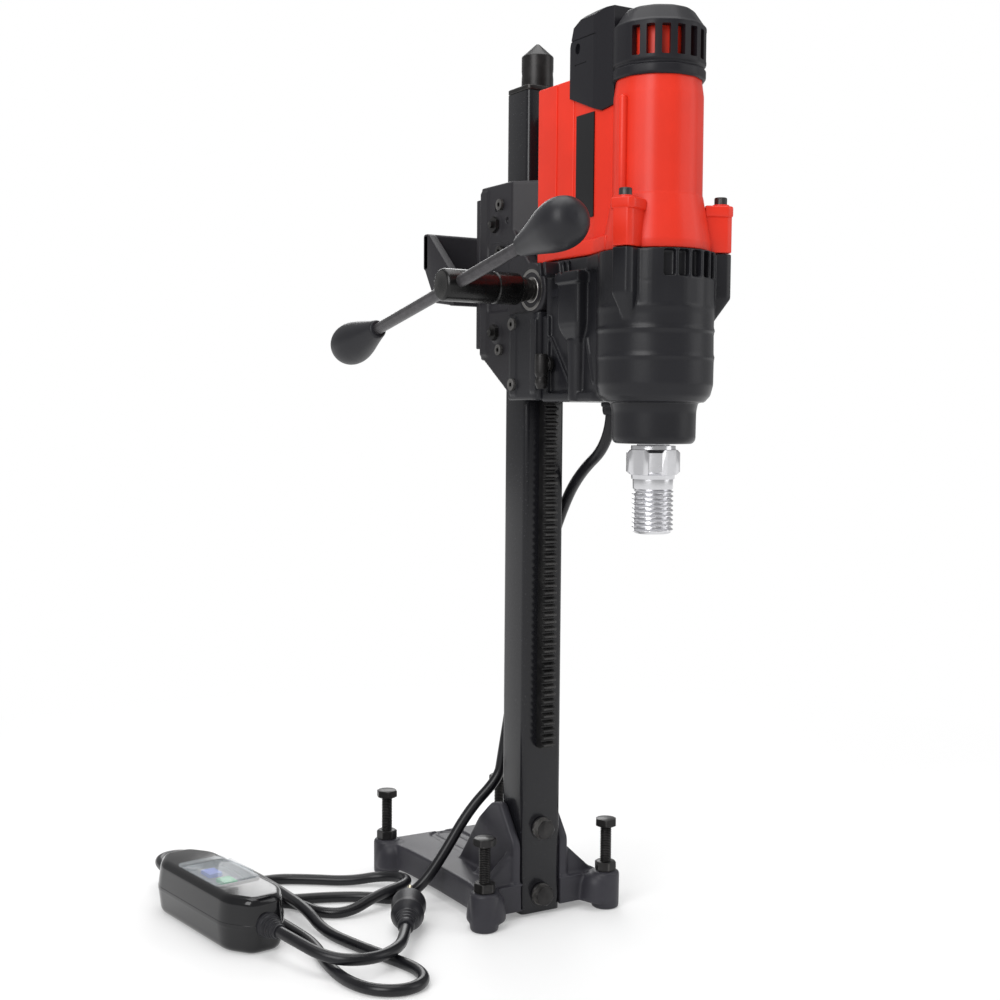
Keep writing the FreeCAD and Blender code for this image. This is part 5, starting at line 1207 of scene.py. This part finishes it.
# glands and hose fitting under the gearbox
gland = turnedSolid([(0, 437.5), (5.4, 437.0), (6.8, 438), (7.5, 441), (7.5, 444), (8.6, 444.6), (8.6, 448),
                     (0, 448)],
                    (25, -62), corner=0.8)
solidPiece("cordGland", gland, "knobPlastic", "carriage", ["cord_gland"])
fitting = joined(turnedSolid([(0, 458), (3.6, 458), (4.2, 460), (5.2, 462), (5.2, 465), (4.2, 467),
                              (5.4, 470), (5.4, 484), (4.6, 486), (0, 486)], (-41, -57), corner=0.5),
                 turnedSolid([(0, -42), (4.4, -42), (4.4, -37), (6.2, -36.6), (6.2, -33), (0, -33)],
                             (-57, 478), "X", corner=0.4))
solidPiece("hoseFitting", fitting, "blackSteel", "carriage", ["hose_fitting"])

# switch box: two shells, clear cover, ribbed glands
boxTurnMatrix = Matrix.Rotation(boxTurn, 4, "Z")


def inBox(solid):
    # turned and shifted from the switch box's own axes to where it lies
    return moved(solid, boxTurnMatrix, (boxCentre[0], boxCentre[1], 0))


boxSpec = {"split": 23.5, "top": 47.0, "bevel": 7.0, "crown": 2.0, "band": 2.0, "well": (-33, 33),
           "wellHalf": 19.5, "coverPin": (20.4, 48.9)}
boxPlan = [(-84, -14), (-60, -29), (60, -29), (84, -14), (84, 14), (60, 29), (-60, 29), (-84, 14)]


def boxShell(low, high):
    # the plan drawn in by the crown towards the top, then by a quarter circle of the bevel's size
    bevel, crown = boxSpec["bevel"], boxSpec["crown"]
    flat = softCorners(boxPlan, 9.0, steps=6)
    normal = outward(flat)
    rims = [(0, low)]
    rims += [(crown * s, low + (high - bevel - low) * s) for s in np.linspace(0.1, 1, 5)]
    rims += [(crown + bevel * (1 - math.cos(t)), high - bevel + bevel * math.sin(t))
             for t in np.linspace(0.2, math.pi / 2, 6)]
    return ringSolid([onAxis(flat - normal * step, height, "Z") for step, height in rims])


def mirrorZ(solid, level):
    # each height reflected in a level, the faces turned round so that they still point outwards
    points, faces = solid
    points = points.copy()
    points[:, 2] = 2 * level * mm - points[:, 2]
    return points, [face[::-1] for face in faces]


upper = inBox(boxShell(boxSpec["split"] + 0.1, boxSpec["top"]))
lower = inBox(mirrorZ(boxShell(boxSpec["split"] - 0.1, boxSpec["top"] - 0.6), boxSpec["split"] - 0.15))
band = inBox(prism(boxPlan, boxSpec["split"] - boxSpec["band"], boxSpec["split"] + boxSpec["band"], 0.4, "Z",
                   9.0))
well = inBox(block(boxSpec["well"], (-boxSpec["wellHalf"], boxSpec["wellHalf"]), (40.6, 60), 0.2, 4.0))
finishPiece(cutPiece("switchUpper", [upper], [well]), "switchGloss", "stand",
            ["switch_case_upper"])
solidPiece("switchLower", joined(lower, band), "switchGloss", "stand", ["switch_case_lower"])
coverOut = inBox(prism([(-36, -21.5), (36, -21.5), (36, 20.5), (-36, 20.5)], 46.4, 49.6, 1.4, "Z", 4.5))
barrel = inBox(rodSolid(1.7, -20, 20, boxSpec["coverPin"], "X", corner=0.2, around=32))
solidPiece("switchCover", joined(coverOut, barrel), "clearFlap", "flap", ["switch_flap"])
panel = inBox(block((-32.6, 32.6), (-19, 19), (39.0, 40.8), 0.2, 3.6))
solidPiece("switchPanel", panel, "panelGrey", "stand")


def boxGland(sign):
    # a tapering sleeve with four ribs
    line = [(0, 80), (10.5, 80), (10.5, 86), (9.2, 86.6)]
    for rib in range(4):
        start = 88 + rib * 3.4
        line += [(8.6 - rib * 0.5, start), (8.6 - rib * 0.5, start + 1.8), (7.4 - rib * 0.45, start + 2.2),
                 (7.4 - rib * 0.45, start + 3.2)]
    line += [(5.6, 103), (0, 103)]
    solid = turnedSolid([(r, sign * x) for r, x in line][::sign], (0, 24), "X", corner=0.4, around=48)
    return inBox(solid)


glandPiece = solidPiece("switchSleeves", joined(boxGland(1), boxGland(-1)), "knobPlastic", "stand",
                        ["switch_glands"])
print("stage: switch box")

# plug: grip with finger ribs and a tapering sleeve
def plugPiece():
    line = [(0, 0), (6.2, 0), (6.6, 1.0)]
    for rib in range(4):
        start = 3 + rib * 4.6
        line += [(7.2 + rib * 0.9, start), (7.2 + rib * 0.9, start + 2.4), (6.2 + rib * 0.9, start + 2.9),
                 (6.2 + rib * 0.9, start + 4.1)]
    line += [(11.5, 24), (14.2, 30), (13.4, 38), (14.4, 46), (15, 52), (15, 57), (14.2, 58), (0, 58)]
    solid = turnedSolid(line, corner=1.0, around=64)
    turn = Matrix.Rotation(plugTurn, 4, "Z") @ Matrix.Rotation(math.pi / 2, 4, "Y")
    return moved(solid, turn, plugPlace)


plugBody = solidPiece("plugBody", plugPiece(), "knobPlastic", "stand", ["plug_body"])
print("stage: plug")

# first points of both cord routes in metres, computed and not kept; and the end
[value * mm for value in mainRoute[0]]
[value * mm for value in leadRoute[0]]
